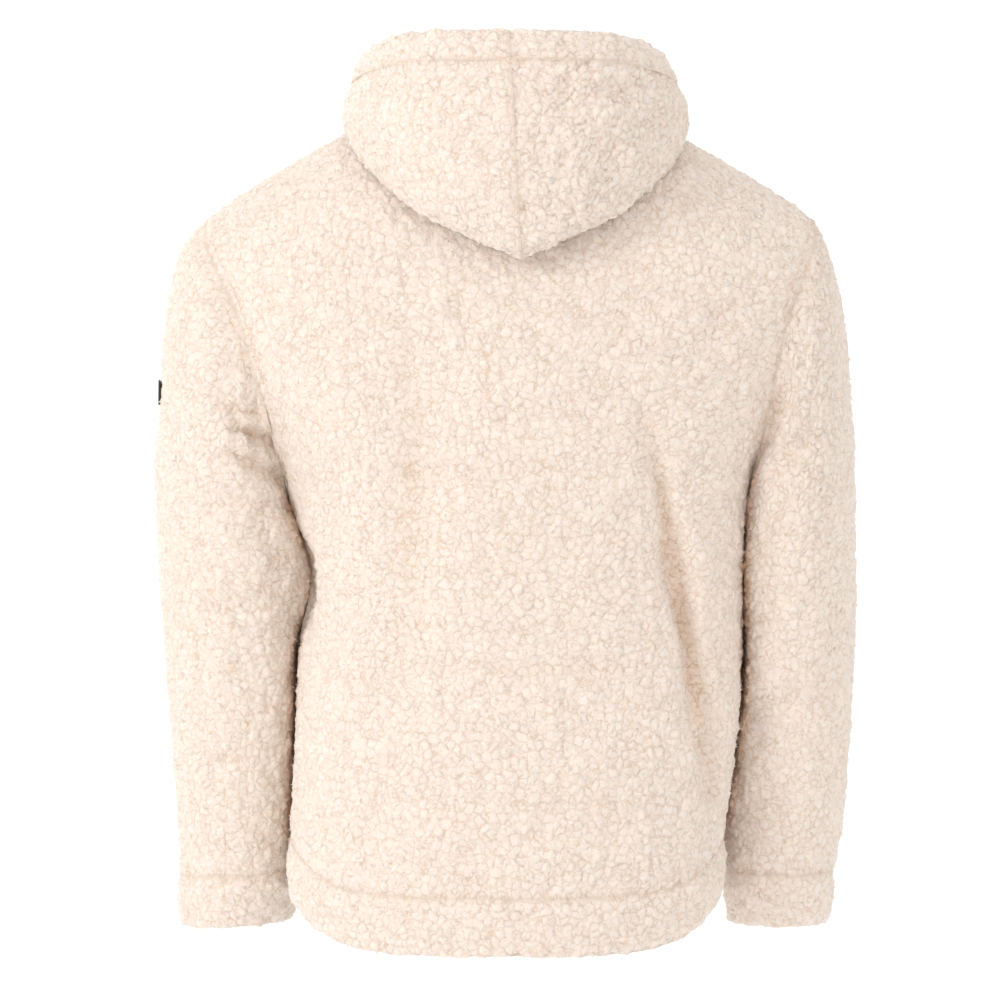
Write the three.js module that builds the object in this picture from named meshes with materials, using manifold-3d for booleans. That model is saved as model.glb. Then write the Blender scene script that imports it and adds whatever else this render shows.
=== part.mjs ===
// A zip-front hoodie of thick pile fleece, filled out as on a standing wearer who isn't there, arms hanging.
// Millimetres, +Z up. The front faces -Y and the wearer's left is +X. The origin is the middle of the neck hole,
// level with the neck ends of the shoulder seams, which is where the garment is carried.
import * as THREE from "three";
import { mergeVertices } from "three/addons/utils/BufferGeometryUtils.js";
import Module from "manifold-3d";

// ---------------------------------------------------------------- sizes that drive the rest
const cloth = 6; // a knitted ground of about 1 mm with the pile standing on it
const seamGap = 0.4;
const neck = { halfWidth: 78, back: 66, backDrop: 20, front: 80, frontDrop: 88 };
const shoulder = { halfWidth: 261, drop: 104, roundDepth: 110 };
const underarmDrop = 353;
const frontEdge = 8; // each front stops this far from the middle, beside the zip

// ---------------------------------------------------------------- how finely the cloth is stepped
const neckSteps = 6; // from a neck end of the shoulder seam to the middle, front or back
const shoulderSteps = 8; // along a shoulder seam
const roundSteps = 4; // over the round of the shoulder
const armholeSteps = 12; // from the shoulder point to the underarm
const sideSteps = 12; // from the underarm to the hem band

// ---------------------------------------------------------------- tables
// The shoulder seam, from the neck to the shoulder point.
const shoulderLine = [
  { x: 78, z: 0 },
  { x: 120, z: -17 },
  { x: 160, z: -40 },
  { x: 200, z: -63 },
  { x: 240, z: -88 },
  { x: 261, z: -104 },
];
// The body at each level: how far its left and right edges (armhole, then side seam) are from the middle, how far
// the middle of the back and of the front stand out, how far the armhole stands behind and before the side, and
// the half angle that the cloth spans between its edges.
const bodyLevels = [
  { z: 0, left: 261, right: 261, back: 106, front: 96, holeBack: 66, holeFront: 58, span: 55 },
  { z: -104, left: 261, right: 261, back: 114, front: 104, holeBack: 66, holeFront: 58, span: 55 },
  { z: -133, left: 252, right: 253, back: 119, front: 112, holeBack: 67, holeFront: 58, span: 55 },
  { z: -171, left: 233, right: 238, back: 124, front: 120, holeBack: 68, holeFront: 58, span: 56 },
  { z: -204, left: 224, right: 230, back: 127, front: 125, holeBack: 68, holeFront: 58, span: 58 },
  { z: -245, left: 214, right: 222, back: 128, front: 129, holeBack: 64, holeFront: 56, span: 62 },
  { z: -295, left: 201, right: 212, back: 127, front: 130, holeBack: 44, holeFront: 42, span: 74 },
  { z: -325, left: 194, right: 207, back: 125, front: 129, holeBack: 24, holeFront: 24, span: 83 },
  { z: -353, left: 188, right: 204, back: 123, front: 127, holeBack: 0, holeFront: 0, span: 90 },
  { z: -400, left: 184, right: 202, back: 120, front: 125, holeBack: 0, holeFront: 0, span: 90 },
  { z: -460, left: 183, right: 200, back: 119, front: 122, holeBack: 0, holeFront: 0, span: 90 },
  { z: -530, left: 184, right: 197, back: 120, front: 120, holeBack: 0, holeFront: 0, span: 90 },
  { z: -590, left: 187, right: 190, back: 123, front: 120, holeBack: 0, holeFront: 0, span: 90 },
  { z: -634, left: 189, right: 184, back: 125, front: 121, holeBack: 0, holeFront: 0, span: 90 },
  { z: -680, left: 190, right: 182, back: 126, front: 121, holeBack: 0, holeFront: 0, span: 90 },
  { z: -730, left: 184, right: 176, back: 121, front: 116, holeBack: 0, holeFront: 0, span: 90 },
];
const sectionFullness = 0.85; // under 1 squares the body's section a little
// The seam above the hem band and the hem's fold, from the middle (across 0) to the side (across 1).
const hemLine = [
  { across: 0, seam: -674, fold: -724 },
  { across: 0.4, seam: -673, fold: -723 },
  { across: 0.6, seam: -665, fold: -715 },
  { across: 0.75, seam: -651, fold: -701 },
  { across: 0.88, seam: -640, fold: -689 },
  { across: 1, seam: -634, fold: -682 },
];
const frontHemShare = 0.6; // the front hem dips this much of what the back hem does
// Each sleeve from the armhole to the cuff seam: its outer and inner outline, the depth of its middle, and its
// half depth. The rings fan out round the underarm, then run down the arm, which hangs a little forward.
const leftSleeve = [
  { outX: 261, outZ: -104, inX: 188, inZ: -353, y: 0, half: 66 },
  { outX: 275, outZ: -116, inX: 188.5, inZ: -359, y: 0, half: 68 },
  { outX: 286, outZ: -139, inX: 186.5, inZ: -366, y: -1, half: 70 },
  { outX: 294, outZ: -174, inX: 184, inZ: -374, y: -2, half: 71 },
  { outX: 300, outZ: -218, inX: 181, inZ: -384, y: -4, half: 72 },
  { outX: 305, outZ: -268, inX: 178, inZ: -396, y: -7, half: 72 },
  { outX: 307, outZ: -322, inX: 174, inZ: -413, y: -11, half: 71 },
  { outX: 305, outZ: -382, inX: 171, inZ: -438, y: -17, half: 69 },
  { outX: 302, outZ: -444, inX: 169, inZ: -472, y: -25, half: 66 },
  { outX: 298, outZ: -505, inX: 167, inZ: -514, y: -34, half: 63 },
  { outX: 294, outZ: -565, inX: 169, inZ: -562, y: -42, half: 60 },
  { outX: 291, outZ: -625, inX: 175, inZ: -617, y: -51, half: 57 },
  { outX: 290, outZ: -672, inX: 184, inZ: -667, y: -58, half: 55 },
];
const rightSleeve = [
  { outX: 261, outZ: -104, inX: 204, inZ: -353, y: 0, half: 66 },
  { outX: 268, outZ: -116, inX: 204.5, inZ: -359, y: 0, half: 69 },
  { outX: 276, outZ: -139, inX: 203, inZ: -366, y: -1, half: 72 },
  { outX: 285, outZ: -174, inX: 201, inZ: -374, y: -2, half: 74 },
  { outX: 292, outZ: -218, inX: 198.5, inZ: -384, y: -4, half: 75 },
  { outX: 296, outZ: -268, inX: 196, inZ: -396, y: -7, half: 75 },
  { outX: 298, outZ: -322, inX: 193, inZ: -413, y: -11, half: 74 },
  { outX: 299, outZ: -382, inX: 189, inZ: -438, y: -17, half: 71 },
  { outX: 300, outZ: -444, inX: 185, inZ: -472, y: -25, half: 67 },
  { outX: 299, outZ: -505, inX: 181, inZ: -514, y: -34, half: 63 },
  { outX: 296, outZ: -565, inX: 178, inZ: -562, y: -43, half: 60 },
  { outX: 292, outZ: -625, inX: 180, inZ: -617, y: -51, half: 56 },
  { outX: 284, outZ: -669, inX: 188, inZ: -669, y: -57, half: 53 },
];
const cuffLength = 47;
const sleeveRings = 20;
const capShare = 0.42; // over this share of the sleeve the armhole's outline turns into an oval
// The hood lies back. Round the neck from the zip (bearing 0) by the side (90) to the middle of the back (180), the
// cloth leaves the neck seam, rolls over, runs under, turns at the fold, swells at the belly and ends at the seam of
// the hood's edge band. Each of those is a distance from the neck's middle and a height.
const hoodBearings = [
  { bearing: 0, rollR: 83, rollZ: -81, underR: 86, underZ: -76, inR: 89, inZ: -72, tipR: 91, tipZ: -69,
    outR: 93, outZ: -66, bellyR: 95, bellyZ: -61, seamR: 96, seamZ: -54, rimR: 99, rimZ: -26 },
  { bearing: 30, rollR: 84, rollZ: -60, underR: 92, underZ: -53, inR: 101, inZ: -48, tipR: 107, tipZ: -45,
    outR: 113, outZ: -40, bellyR: 117, bellyZ: -30, seamR: 116, seamZ: -20, rimR: 112, rimZ: 6 },
  { bearing: 60, rollR: 86, rollZ: -13, underR: 103, underZ: -20, inR: 117, inZ: -27, tipR: 126, tipZ: -30,
    outR: 130, outZ: -25, bellyR: 130, bellyZ: -13, seamR: 126, seamZ: -5, rimR: 117, rimZ: 17 },
  { bearing: 90, rollR: 87, rollZ: 7, underR: 106, underZ: -6, inR: 124, inZ: -17, tipR: 134, tipZ: -22,
    outR: 138, outZ: -17, bellyR: 138, bellyZ: -6, seamR: 131, seamZ: 3, rimR: 120, rimZ: 23 },
  { bearing: 120, rollR: 85, rollZ: 3, underR: 112, underZ: -18, inR: 136, inZ: -54, tipR: 147, tipZ: -64,
    outR: 155, outZ: -52, bellyR: 159, bellyZ: -20, seamR: 151, seamZ: 9, rimR: 138, rimZ: 34 },
  { bearing: 150, rollR: 80, rollZ: -3, underR: 109, underZ: -38, inR: 133, inZ: -98, tipR: 147, tipZ: -115,
    outR: 161, outZ: -98, bellyR: 174, bellyZ: -43, seamR: 169, seamZ: 13, rimR: 158, rimZ: 41 },
  { bearing: 180, rollR: 77, rollZ: -6, underR: 106, underZ: -48, inR: 125, inZ: -131, tipR: 139, tipZ: -149,
    outR: 153, outZ: -130, bellyR: 172, bellyZ: -58, seamR: 167, seamZ: 13, rimR: 158, rimZ: 40 },
];
const hoodRows = 14;
const hoodRightShare = 1.05; // the hood slumps to the wearer's right
const hoodLean = { perHeight: 0.053, level: 10 }; // its middle seam leans, by this much for each millimetre of height
// The main folds of the body, as soft troughs from one point to another, each given by where it is across, its
// height and its depth there. A fold is measured through the air, so one near a side seam bends both panels.
const bodyFolds = [
  { face: "back", x1: -102, z1: -250, deep1: 2, x2: -124, z2: -335, deep2: 9, wide: 20 },
  { face: "back", x1: -124, z1: -335, deep1: 9, x2: -153, z2: -470, deep2: 15, wide: 19 },
  { face: "back", x1: -153, z1: -470, deep1: 15, x2: -176, z2: -605, deep2: 9, wide: 18 },
  { face: "back", x1: 66, z1: -160, deep1: 2, x2: 76, z2: -330, deep2: 5, wide: 30 },
  { face: "back", x1: 76, z1: -330, deep1: 5, x2: 84, z2: -520, deep2: 2, wide: 30 },
  { face: "back", x1: 181.5, z1: -409, deep1: 27, x2: 181.5, z2: -420, deep2: 29, wide: 28 },
  { face: "back", x1: 210, z1: -255, deep1: 2, x2: 176, z2: -335, deep2: 6, wide: 15 },
  { face: "front", x1: 181.5, z1: -409, deep1: 23, x2: 181.5, z2: -420, deep2: 25, wide: 26 },
  { face: "front", x1: 118, z1: -265, deep1: 5, x2: 158, z2: -480, deep2: 10, wide: 20 },
  { face: "front", x1: 60, z1: -250, deep1: 3, x2: 84, z2: -560, deep2: 4, wide: 28 },
  { face: "front", x1: -112, z1: -280, deep1: 6, x2: -150, z2: -500, deep2: 10, wide: 20 },
  { face: "front", x1: -52, z1: -300, deep1: 3, x2: -70, z2: -600, deep2: 4, wide: 30 },
];
// The sleeves' folds: turn is degrees round the ring from its outer line, over the back to the underarm (180) and on
// over the front; down is the height.
const sleeveFolds = {
  left: [
    { turn1: -46, z1: -252, turn2: 14, z2: -252, deep1: 5, deep2: 5.5, wide: 19 },
    { turn1: 96, z1: -250, turn2: 150, z2: -330, deep1: 8, deep2: 8, wide: 17 },
    { turn1: 60, z1: -425, turn2: 150, z2: -452, deep1: 4, deep2: 4, wide: 20 },
    { turn1: 215, z1: -470, turn2: 300, z2: -430, deep1: 6, deep2: 6, wide: 18 },
    { turn1: 200, z1: -540, turn2: 290, z2: -520, deep1: 5, deep2: 5, wide: 20 },
    { turn1: 80, z1: -600, turn2: 160, z2: -575, deep1: 3, deep2: 3, wide: 18 },
  ],
  right: [
    { turn1: 70, z1: -262, turn2: 140, z2: -345, deep1: 7, deep2: 7, wide: 20 },
    { turn1: 10, z1: -250, turn2: 70, z2: -262, deep1: 4, deep2: 4, wide: 22 },
    { turn1: 210, z1: -455, turn2: 300, z2: -480, deep1: 6, deep2: 6, wide: 18 },
    { turn1: 215, z1: -560, turn2: 290, z2: -530, deep1: 5, deep2: 5, wide: 20 },
    { turn1: 90, z1: -520, turn2: 150, z2: -560, deep1: 4, deep2: 4, wide: 20 },
  ],
};
// A folded band's section from its seam to its fold: share of its depth, how proud of the cloth, how far inside.
const bandSection = [
  { share: 0, proud: 0, inside: 6 },
  { share: 0.12, proud: 1.6, inside: 6.4 },
  { share: 0.5, proud: 2.4, inside: 6.6 },
  { share: 0.88, proud: 1.2, inside: 6 },
  { share: 1, proud: -1.6, inside: 3.8 },
];
const armClear = 1.8; // the arms hang this far off the body
const armNestles = 0.9; // beside a fold in the body's side, an arm follows the fold by this share
const hoodClear = 3.6; // the hood lies this far off the shoulders and back
// The zip. Depths are measured inwards from the cloth's outer face.
const zip = { topDrop: 4, aboveFold: 5, rows: 13 };
const tape = { inner: 3.3, outer: 20, depth: 7.3, thick: 1, topDrop: 9 };
const chain = { half: 3, front: 6.3, back: 9.3, topDrop: 9 };
const slider = { half: 4.8, length: 14, front: 4.3, frontIn: 5.9, backIn: 9.7, back: 11.3, nose: 4 };
const crown = { half: 1.4, length: 9, rise: 3, thick: 0.9 };
const pull = { half: 3.6, length: 32, thick: 1.4, arm: 1.6, window: 9, bar: 0.75, clear: 0.25 };
const zipBox = { half: 5, height: 12, front: 5.6, back: 10, above: 2 };
const patch = { turnBack: 12, turnFront: -44, top: -242, bottom: -263, off: 1, thick: 1.2 };

// ---------------------------------------------------------------- helpers
const { sin, cos, asin, min, max, abs, sqrt, exp, PI } = Math;
const degrees = PI / 180;
const lerp = THREE.MathUtils.lerp;
const steps = (count) => Array.from({ length: count + 1 }, (_, i) => i / count);
const smooth = (t) => THREE.MathUtils.smoothstep(t, 0, 1);
const point = (x, y, z) => new THREE.Vector3(x, y, z);

// A smooth curve through a table's column, against another column that rises or falls steadily.
function follow(table, key, column) {
  const rising = table[0][key] < table[table.length - 1][key];
  const rows = rising ? table : [...table].reverse();
  const xs = rows.map((row) => row[key]);
  const ys = rows.map((row) => row[column]);
  const slope = xs.map((_, i) => {
    const a = max(i - 1, 0);
    const b = min(i + 1, xs.length - 1);
    return (ys[b] - ys[a]) / (xs[b] - xs[a]);
  });
  return (x) => {
    if (x <= xs[0]) return ys[0];
    if (x >= xs[xs.length - 1]) return ys[xs.length - 1];
    const i = xs.findIndex((edge) => edge > x) - 1;
    const h = xs[i + 1] - xs[i];
    const t = (x - xs[i]) / h;
    const t2 = t * t;
    const t3 = t2 * t;
    return (
      (2 * t3 - 3 * t2 + 1) * ys[i] + (t3 - 2 * t2 + t) * h * slope[i] +
      (3 * t2 - 2 * t3) * ys[i + 1] + (t3 - t2) * h * slope[i + 1]
    );
  };
}
const followAll = (table, key, columns) =>
  Object.fromEntries(columns.map((column) => [column, follow(table, key, column)]));
const numbered = (table) => table.map((row, i) => ({ ...row, at: i / (table.length - 1) }));

// Depth of a soft trough at a point, by how far off its middle line the point is.
function trough(p, { from, to, deep1, deep2, wide }) {
  const line = new THREE.Line3(from, to);
  const along = line.closestPointToPointParameter(p, true);
  const away = line.at(along, point(0, 0, 0)).distanceTo(p);
  return lerp(deep1, deep2, along) * exp(-((away / wide) ** 2));
}
const deepest = (p, folds) => max(...folds.map((fold) => trough(p, fold)));

// Outward directions of a grid of points, whose columns and rows run so that their cross product points out.
function outward(grid, closed) {
  const rows = grid.length;
  const columns = grid[0].length;
  return grid.map((row, i) =>
    row.map((_, j) => {
      const before = closed ? (j + columns - 1) % columns : max(j - 1, 0);
      const after = closed ? (j + 1) % columns : min(j + 1, columns - 1);
      const across = grid[i][after].clone().sub(grid[i][before]);
      const down = grid[min(i + 1, rows - 1)][j].clone().sub(grid[max(i - 1, 0)][j]);
      return across.cross(down).normalize();
    }),
  );
}

// Sewn edges share their directions, so that both walls end on one plane. Pieces of one group are averaged first.
function shareDirections(pieces) {
  const key = (p) => `${p.x.toFixed(2)},${p.y.toFixed(2)},${p.z.toFixed(2)}`;
  const meetings = new Map();
  for (const piece of pieces)
    piece.grid.forEach((row, i) =>
      row.forEach((p, j) => {
        const groups = meetings.get(key(p)) ?? new Map();
        const sum = groups.get(piece.group) ?? point(0, 0, 0);
        groups.set(piece.group, sum.add(piece.normals[i][j]));
        meetings.set(key(p), groups);
      }),
    );
  for (const piece of pieces)
    piece.normals = piece.grid.map((row) =>
      row.map((p) => {
        const total = point(0, 0, 0);
        for (const sum of meetings.get(key(p)).values()) total.add(sum.clone().normalize());
        return total.normalize();
      }),
    );
}

// A layer of a piece: its grid moved along its directions, by a distance for each row.
const layer = (piece, distances) =>
  piece.grid.map((row, i) => row.map((p, j) => p.clone().addScaledVector(piece.normals[i][j], distances[i])));

// Draws the sewn edges of a layer back by half a seam gap each.
function trimmed(grid, { sewn: edges, rise = 0 }) {
  const back = (p, towards) => p.clone().add(towards.clone().sub(p).setLength(seamGap / 2));
  const rows = grid.length - 1;
  const columns = grid[0].length - 1;
  const out = grid.map((row) => row.map((p) => p.clone()));
  if (edges.includes("top")) out[0] = grid[0].map((p, j) => back(p, grid[1][j]));
  if (edges.includes("bottom")) out[rows] = grid[rows].map((p, j) => back(p, grid[rows - 1][j]));
  out.forEach((row, i) => {
    if (edges.includes("start")) row[0] = back(row[0], grid[i][1]);
    if (edges.includes("end")) row[columns] = back(row[columns], grid[i][columns - 1]);
  });
  for (const p of out[0]) p.z += rise;
  return out;
}

function meshGeometry(positions, index) {
  const geometry = new THREE.BufferGeometry();
  geometry.setAttribute("position", new THREE.Float32BufferAttribute(positions, 3));
  geometry.setIndex(index);
  return geometry;
}
const flat = (points) => points.flatMap((p) => [p.x, p.y, p.z]);

// One closed wall between an outer and an inner grid of points. The faces along its edges are split on the diagonal
// that the piece sewn to it also takes, so the two sides of a twisted seam lie flat on each other.
function wall(outer, inner, closed) {
  const rows = outer.length;
  const columns = outer[0].length;
  const points = [...outer.flat(), ...inner.flat()];
  const index = [];
  const at = (side, i, j) => side * rows * columns + i * columns + (j % columns);
  const quad = (a, b, c, d) => index.push(a, b, c, a, c, d);
  const rank = (k) => points[k].z + 0.62 * abs(points[k].x) + 0.38 * points[k].y;
  const edge = (a, b, c, d) => (rank(a) > rank(b) ? quad(a, b, c, d) : quad(b, c, d, a));
  const last = closed ? columns : columns - 1;
  for (let j = 0; j < last; j++) {
    for (let i = 0; i < rows - 1; i++) {
      quad(at(0, i, j), at(0, i, j + 1), at(0, i + 1, j + 1), at(0, i + 1, j));
      quad(at(1, i + 1, j), at(1, i + 1, j + 1), at(1, i, j + 1), at(1, i, j));
    }
    edge(at(0, 0, j + 1), at(0, 0, j), at(1, 0, j), at(1, 0, j + 1));
    edge(at(0, rows - 1, j), at(0, rows - 1, j + 1), at(1, rows - 1, j + 1), at(1, rows - 1, j));
  }
  if (!closed)
    for (let i = 0; i < rows - 1; i++) {
      edge(at(0, i, 0), at(0, i + 1, 0), at(1, i + 1, 0), at(1, i, 0));
      edge(at(0, i + 1, last), at(0, i, last), at(1, i, last), at(1, i + 1, last));
    }
  return meshGeometry(flat(points), index);
}

// ---------------------------------------------------------------- the body's surface
const level = followAll(bodyLevels, "z", ["left", "right", "back", "front", "holeBack", "holeFront", "span"]);
const hemAt = followAll(hemLine, "across", ["seam", "fold"]);
const shoulderHeight = follow(shoulderLine, "x", "z");
const topSpan = level.span(0) * degrees;
const neckShare = asin((neck.halfWidth / shoulder.halfWidth) * sin(topSpan)) / topSpan;
const underarmShare = (underarmDrop - shoulder.drop) / (-hemAt.seam(1) - shoulder.drop);
const roundShare = 0.09;
const neckFan = 0.36;
const neckRound = { back: 1.6, front: 1.2, side: 1.5, shoulder: 2.1 }; // how squarely the cloth turns down

// The rows down a panel, as shares of the way from its top edge to the hem seam.
const rowShares = [
  ...steps(roundSteps).map((t) => roundShare * t * t),
  ...steps(armholeSteps - roundSteps).slice(1).map((t) => lerp(roundShare, underarmShare, t)),
  ...steps(sideSteps).slice(1).map((t) => lerp(underarmShare, 1, t)),
];

const hemHeight = (top, edge) => {
  const side = hemAt[edge](1);
  return side + (hemAt[edge](abs(top.across)) - side) * (top.face === "back" ? 1 : frontHemShare);
};

// Columns of cloth: how far across each lies (-1 to 1, right to left), and where it starts at the top edge. They fan
// out from the neck, whose hole takes a smaller share of the top than its columns do lower down.
function shoulderColumn(face, side, share) {
  const x = (shoulder.halfWidth * sin(lerp(neckShare, 1, share) * topSpan)) / sin(topSpan);
  const across = side * lerp(neckFan, 1, share);
  return { face, across, x: side * x, y: 0, z: shoulderHeight(x), round: lerp(neckRound.side, neckRound.shoulder, share) };
}
function neckColumn(face, side, share) {
  // share runs from the middle (0) to the shoulder seam (1)
  const turn = (1 - share) * (face === "back" ? PI / 2 : Math.acos(frontEdge / neck.halfWidth));
  const x = side * neck.halfWidth * cos(turn);
  const round = lerp(neckRound[face], neckRound.side, share);
  const top = { face, across: side * share * neckFan, x, round };
  if (face === "back") return { ...top, y: neck.back * sin(turn), z: -neck.backDrop * sin(turn) };
  return { ...top, side, edgeShare: share, y: -neck.front * sin(turn), z: -neck.frontDrop * sin(turn) ** 2.3 };
}
const halfPanel = (face, side) => [
  ...steps(neckSteps).map((t) => neckColumn(face, side, t)),
  ...steps(shoulderSteps).slice(1).map((t) => shoulderColumn(face, side, t)),
];
const halfWidth = (side, z) => (side < 0 ? level.right(z) : level.left(z));

// The cloth of a level: where a share of the way across lies, before any fold.
function onLevel(face, across, z) {
  const span = level.span(z) * degrees;
  const deep = max((cos(across * span) - cos(span)) / (1 - cos(span)), 0) ** sectionFullness;
  const armhole = z > -underarmDrop ? 1 : 0;
  const back = lerp(armhole * level.holeBack(z), level.back(z), deep);
  const front = lerp(armhole * level.holeFront(z), level.front(z), deep);
  return point((halfWidth(across, z) * sin(across * span)) / sin(span), face === "back" ? back : -front, z);
}
function acrossAt(x, z) {
  const span = level.span(z) * degrees;
  return asin(THREE.MathUtils.clamp(x / halfWidth(x, z), -1, 1) * sin(span)) / span;
}
const foldLines = bodyFolds.map((fold) => ({
  ...fold,
  from: onLevel(fold.face, acrossAt(fold.x1, fold.z1), fold.z1),
  to: onLevel(fold.face, acrossAt(fold.x2, fold.z2), fold.z2),
}));

function bodyPoint(top, z) {
  const drop = max(top.z - z, 0);
  const share = min(drop / shoulder.roundDepth, 1);
  // a front's edge runs straight down beside the zip, and the columns next to it share what is left
  const across = top.edgeShare === undefined
    ? top.across
    : lerp(acrossAt(top.side * frontEdge, z), top.side * neckFan, top.edgeShare);
  const on = onLevel(top.face, across, z);
  const p = point(
    lerp(top.x, on.x, 1 - (1 - share) ** 2),
    lerp(top.y, on.y, (1 - (1 - share) ** top.round) ** (1 / top.round)),
    z,
  );
  const held = smooth(share) * (top.face === "front" ? smooth((abs(p.x) - frontEdge) / 50) : 1);
  const out = point(p.x / halfWidth(p.x, z) ** 2, p.y / level.back(z) ** 2, 0).normalize();
  return p.addScaledVector(out, -deepest(p, foldLines) * held);
}

const panelGrid = (columns) =>
  rowShares.map((share) => columns.map((top) => bodyPoint(top, lerp(top.z, hemHeight(top, "seam"), share))));
const hemGrid = (columns) =>
  bandSection.map(({ share }) =>
    columns.map((top) => bodyPoint(top, lerp(hemHeight(top, "seam"), hemHeight(top, "fold"), share))));

const backColumns = [...halfPanel("back", -1).reverse(), ...halfPanel("back", 1).slice(1)];
const frontRightColumns = halfPanel("front", -1);
const frontLeftColumns = halfPanel("front", 1).reverse();
const body = {
  back: { name: "back", group: "body", grid: panelGrid(backColumns), sewn: ["top", "bottom", "start", "end"] },
  front_right: { name: "front_right", group: "body", grid: panelGrid(frontRightColumns), sewn: ["top", "bottom", "end"] },
  front_left: { name: "front_left", group: "body", grid: panelGrid(frontLeftColumns), sewn: ["top", "bottom", "start"] },
};
const hemBand = {
  name: "hem_band", group: "hem", sewn: ["top"], band: true,
  grid: hemGrid([...frontRightColumns, ...backColumns.slice(1), ...frontLeftColumns.slice(1)]),
};

// How far out the body's side stands at a depth and height below the underarm.
function bodySide(side, y, z) {
  const depth = y > 0 ? level.back(z) : level.front(z);
  const deep = min(abs(y) / depth, 1) ** (1 / sectionFullness);
  return halfWidth(side, z) * sqrt(1 - deep ** 2);
}

// ---------------------------------------------------------------- sleeves
const ringPoints = 2 * armholeSteps;
function sleevePiece(name, side, table, folds) {
  const at = followAll(numbered(table), "at", ["outX", "outZ", "inX", "inZ", "y", "half"]);
  const column = (piece, last) => piece.grid.slice(0, armholeSteps + 1).map((row) => row[last ? row.length - 1 : 0]);
  const backEdge = column(body.back, side > 0);
  const frontEdge = column(side > 0 ? body.front_left : body.front_right, side < 0);
  const hole = [...backEdge, ...frontEdge.slice(1, -1).reverse()];
  const unrolled = (turn, z) => point(turn * 1.1, z, 0);
  const lines = folds.map((f) => ({ ...f, from: unrolled(f.turn1, f.z1), to: unrolled(f.turn2, f.z2) }));
  const first = table[0];
  const axis = new THREE.Vector2((first.outX - first.inX) / 2, (first.outZ - first.inZ) / 2);
  const ring = (share) => {
    if (!share) return hole.map((p) => p.clone());
    const [outX, outZ, inX, inZ, y, half] = ["outX", "outZ", "inX", "inZ", "y", "half"].map((c) => at[c](share));
    const arm = new THREE.Vector2((outX - inX) / 2, (outZ - inZ) / 2);
    const off = new THREE.Vector2(-arm.y, arm.x).normalize();
    const blend = smooth(share / capShare);
    return hole.map((p, k) => {
      const turn = (k / ringPoints) * 2 * PI;
      const local = new THREE.Vector2(p.x * side - (first.outX + first.inX) / 2, p.z - (first.outZ + first.inZ) / 2);
      const along = lerp(local.dot(axis) / axis.lengthSq(), cos(turn), blend);
      const round = lerp(p.y / first.half, sin(turn), blend);
      const aside = lerp(local.cross(axis) / -axis.length(), 0, blend);
      const q = point(
        (outX + inX) / 2 + arm.x * along + off.x * aside,
        y + half * round,
        (outZ + inZ) / 2 + arm.y * along + off.y * aside,
      );
      const depth = deepest(unrolled((turn / PI) * 180, q.z), lines);
      const inwards = point((outX + inX) / 2, y, (outZ + inZ) / 2).sub(q).normalize();
      q.addScaledVector(inwards, depth * smooth(share / 0.3));
      if (q.z < -underarmDrop) {
        const clear = armClear * smooth(share / 0.25) + 0.4 * (share > 0);
        const beside = bodySide(side, q.y, q.z);
        const dent = armNestles * deepest(point(beside * side, q.y, q.z), foldLines);
        q.x = max(q.x, beside - dent + clear);
      }
      q.x *= side;
      return q;
    });
  };
  // seen from above the points must run clockwise, to face out
  const order = (points) => (side < 0 ? points : [points[0], ...points.slice(1).reverse()]);
  const grid = steps(sleeveRings).map((share) => order(ring(share)));
  return { name, group: name, grid, closed: true, sewn: ["top", "bottom"], side };
}
const sleeves = [
  sleevePiece("sleeve_left", 1, leftSleeve, sleeveFolds.left),
  sleevePiece("sleeve_right", -1, rightSleeve, sleeveFolds.right),
];

function cuffPiece(sleeve) {
  const last = sleeve.grid.at(-1);
  const middleOf = (points) => points.reduce((sum, p) => sum.add(p), point(0, 0, 0)).divideScalar(points.length);
  const middle = middleOf(last);
  const along = middle.clone().sub(middleOf(sleeve.grid.at(-3))).setLength(cuffLength);
  const grid = bandSection.map(({ share }) =>
    last.map((p) => p.clone().lerp(middle, 0.08 * share).addScaledVector(along, share)));
  return { name: sleeve.name.replace("sleeve", "cuff"), group: "cuff", grid, closed: true, sewn: ["top"], band: true };
}
const cuffs = sleeves.map(cuffPiece);

// ---------------------------------------------------------------- hood
const hoodStations = ["roll", "under", "in", "tip", "out", "belly", "seam"];
const hoodKeys = [...hoodStations, "rim"].flatMap((station) => [`${station}R`, `${station}Z`]);
const hoodAt = followAll(hoodBearings, "bearing", hoodKeys);
const upperCloth = Object.values(body).flatMap(({ grid }) =>
  grid.slice(1, armholeSteps).flatMap((row, i) =>
    row.slice(1).flatMap((p, j) => [
      new THREE.Triangle(grid[i][j], grid[i][j + 1], p),
      new THREE.Triangle(grid[i][j], p, row[j]),
    ]),
  ),
);
// Lifts a point of the hood off the body's cloth where it would lie too close.
function liftOff(start, clear) {
  const p = start.clone();
  for (let turn = 0; turn < 3; turn++) {
    const spots = upperCloth.map((triangle) => ({ triangle, at: triangle.closestPointToPoint(p, point(0, 0, 0)) }));
    const nearest = spots.reduce((best, spot) =>
      spot.at.distanceToSquared(p) < best.at.distanceToSquared(p) ? spot : best);
    const out = nearest.triangle.getNormal(point(0, 0, 0));
    const gap = p.clone().sub(nearest.at);
    const above = gap.dot(out) > 0 ? gap.length() : -gap.length();
    if (above < clear) p.addScaledVector(out, clear - above);
  }
  return p;
}

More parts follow.
